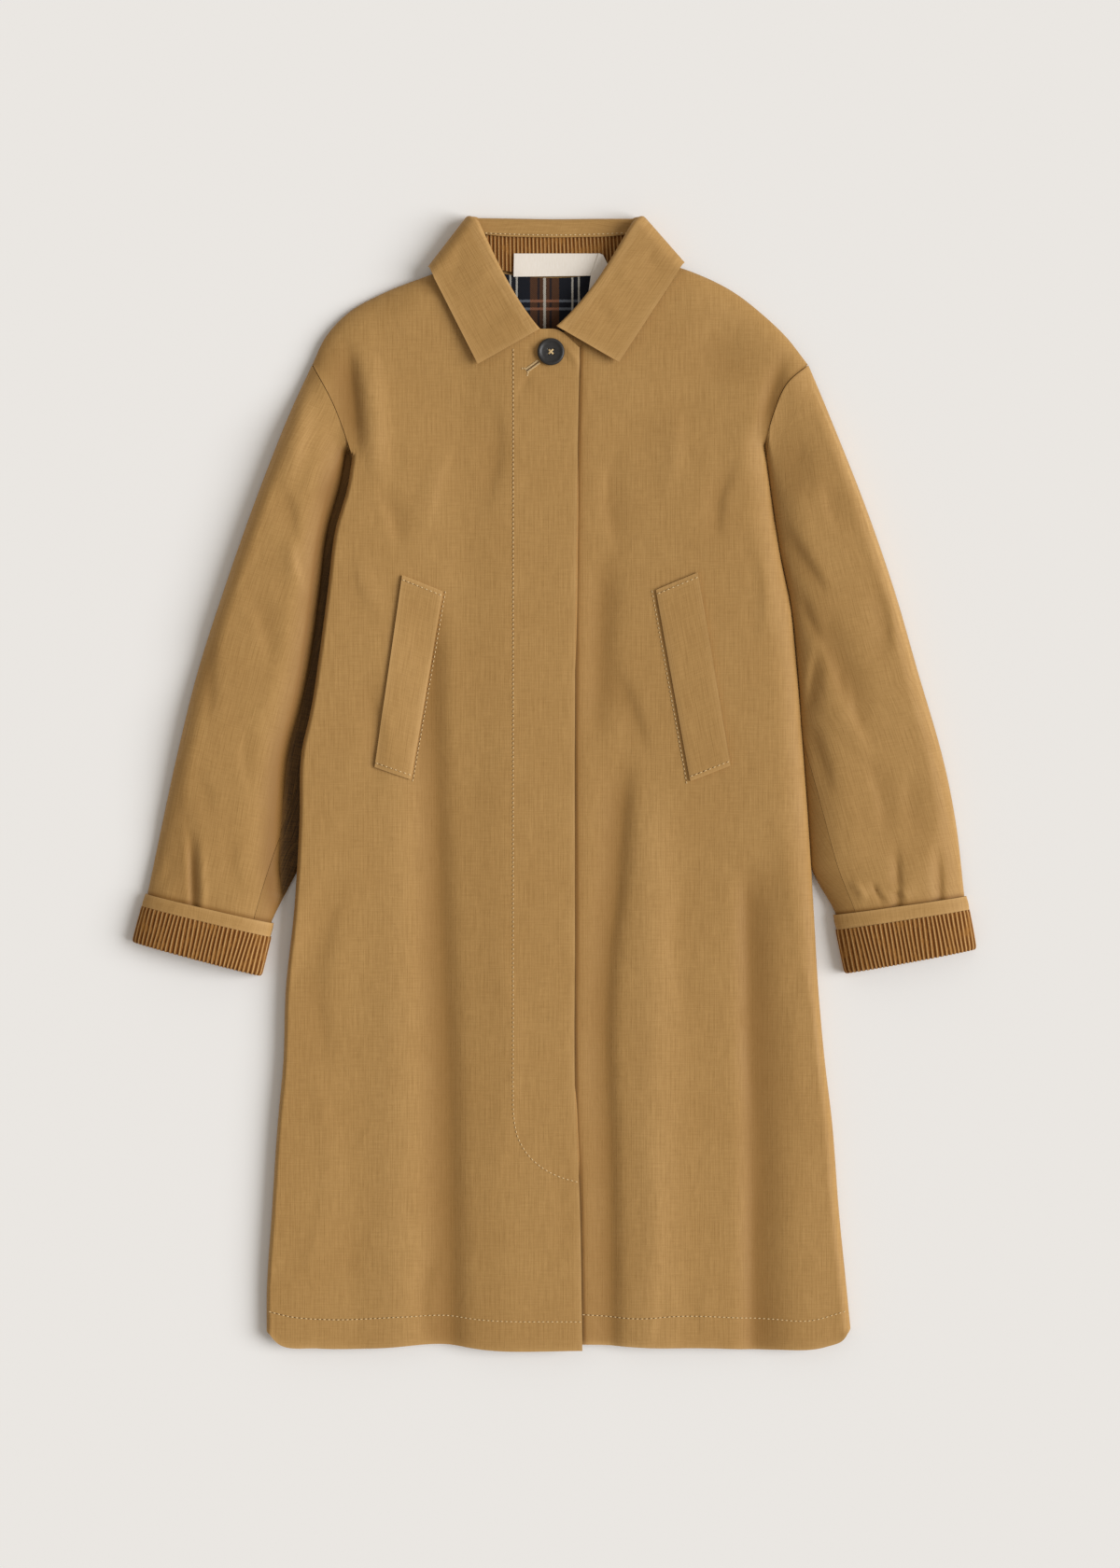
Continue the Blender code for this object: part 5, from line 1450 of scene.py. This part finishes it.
def onCloth(points, height, lift):  # a line of points laid on the cloth
    long = np.linalg.norm(np.diff(np.array(points, float), axis=0), axis=1).sum()
    line = through(points, np.linspace(0, 1, max(8, int(long / stitching["step"]))))
    return np.column_stack([line, onPlan(height, line) + lift])


def seamLines(s):
    raisedBy = s["thick"] / 2 - s["sink"]
    lift = lie["shell"] / 2 + raisedBy
    rows = [onCloth(s[name], height, lift) for name, height in (
        ("fly", overHeight), ("hemOver", overHeight), ("hemUnder", frontHeight))]
    for welt in welts.values():
        u = np.linspace(s["weltFrom"], 1 - s["weltFrom"], 16)
        for end in s["weltEnds"]:  # both ends, on the welt
            v = np.full(len(u), end)
            plan = weltPlan(welt, u, v)
            rows.append(np.column_stack([plan, weltHeight(welt, plan, u, v) + lift]))
        v = np.linspace(0, 1, 50)  # the sewn long edge, on the front beside the welt
        plan = weltPlan(welt, np.full(len(v), s["weltSides"][welt["open"]]), v)
        rows.append(np.column_stack([plan, onPlan(welt["height"], plan) + lift]))
    flat = collar["rollBack"] + collar["roll"] + lie["collar"] / 2
    rows.append(onCloth(s["back"], lambda x, y: np.full(np.shape(x), flat), raisedBy))
    return rows


buttonhole = {
    "start": (-14.6, 405.8), "end": (-26.4, 397.2), "lift": 0.2, "apart": 1.5, "bar": (2.6, 2.2, 4.2),
    "pitch": 0.95, "long": 2.4, "thick": 0.95, "turn": 82, "slit": 0.55, "slitSink": 0.3,
}


def buttonholeLines(b):  # two worked edges with a bar at the inner end, and the slit between them, a dark tube that is painted shadow
    lift = lie["shell"] / 2 + b["lift"]
    start, end = np.array(b["start"]), np.array(b["end"])
    along = unit(end - start)
    side = np.array((-along[1], along[0]))
    inner, out, wide = b["bar"]
    ends = [(start + side * k, end + side * k) for k in (-b["apart"], b["apart"])]
    ends += [(end + side * inner * k, end + along * out + side * wide * k) for k in (-1, 1)]
    edges = [onCloth(pair, overHeight, lift) for pair in ends]
    return edges, onCloth((start, end), overHeight, lift - b["slitSink"])


def makeStitches(s, b):
    rowTree, holeTree = stitchTree("stitchRow", thread), stitchTree("needleHoleRow", holeShade)
    seams = seamLines(s)
    stitchRows("stitching", seams, rowTree, 0.0, (s["pitch"], s["long"], s["thick"]))
    # dark marks between the stitches: painted shade in the needle holes
    sunk = [row - (0, 0, s["holeSink"]) for row in seams]
    stitchRows("needleHoles", sunk, holeTree, 0.5, (s["pitch"], s["hole"], s["holeThick"]))
    worked, slit = buttonholeLines(b)
    sizes = (b["pitch"], b["long"], b["thick"])
    stitchRows("buttonhole", worked, rowTree, 0.0, sizes, math.radians(b["turn"]))
    # the slit: a dark tube standing for the shadow inside it
    dress(tubes("buttonholeSlit", [slit], b["slit"], holeShade), [])


makeStitches(stitching, buttonhole)
print("stitches made")


# Floor, light and camera

studio = {
    "floor": "#f0efec", "world": "#fff7ee", "worldStrength": 0.4,
    # broad soft light from the right
    "key": (1, -0.04, 0.7), "keyColour": "#fbfcff", "keySpread": 40, "keyPower": 3.1,
    "photo": (1200, 1680), "scale": 0.9, "centre": (5.9, -0.9), "eye": 3.2, "sensor": 36,
    "coatTop": 0.015, "floorHalf": 4, "floorDrop": 0.0003,  # m
}


def makeStudio(s):
    mesh = bpy.data.meshes.new("floor")
    half, z = s["floorHalf"], -s["floorDrop"]
    corners = [(x * half, y * half, z) for x, y in ((-1, -1), (1, -1), (1, 1), (-1, 1))]
    mesh.from_pydata(corners, [], [(0, 1, 2, 3)])
    paint, _, shader, _ = newFinish("paleStudioFloor", "Object")  # matt painted board
    setInputs(shader, {"Base Color": s["floor"], "Roughness": 0.9, "Specular IOR Level": 0.1})
    mesh.materials.append(paint)
    floor = bpy.data.objects.new("floor", mesh)
    bpy.context.scene.collection.objects.link(floor)
    world = bpy.data.worlds.new("studio")
    world.use_nodes = True
    sky = world.node_tree.nodes["Background"]
    setInputs(sky, {"Color": s["world"], "Strength": s["worldStrength"]})
    bpy.context.scene.world = world
    lamp = bpy.data.lights.new("key", "SUN")
    lamp.angle, lamp.energy = math.radians(s["keySpread"]), s["keyPower"]
    lamp.color = hexColour(s["keyColour"])[:3]
    light = bpy.data.objects.new("key", lamp)
    place = np.array(s["key"])
    light.location = place
    tilt = math.atan2(math.hypot(place[0], place[1]), place[2])
    light.rotation_euler = (tilt, 0, math.atan2(place[0], -place[1]))
    bpy.context.scene.collection.objects.link(light)
    lens = bpy.data.cameras.new("photoCamera")
    lens.sensor_fit = "AUTO"
    lens.sensor_width = s["sensor"]
    lens.lens = s["sensor"] * s["eye"] / (s["photo"][1] * s["scale"] * mm)
    camera = bpy.data.objects.new("photoCamera", lens)
    spot = np.array((*s["centre"], 0)) + tableShift
    camera.location = (spot[0] * mm, spot[1] * mm, s["eye"] + s["coatTop"])
    bpy.context.scene.collection.objects.link(camera)
    bpy.context.scene.camera = camera
    bpy.context.scene.view_settings.view_transform = "Standard"


makeStudio(studio)
print("studio made")
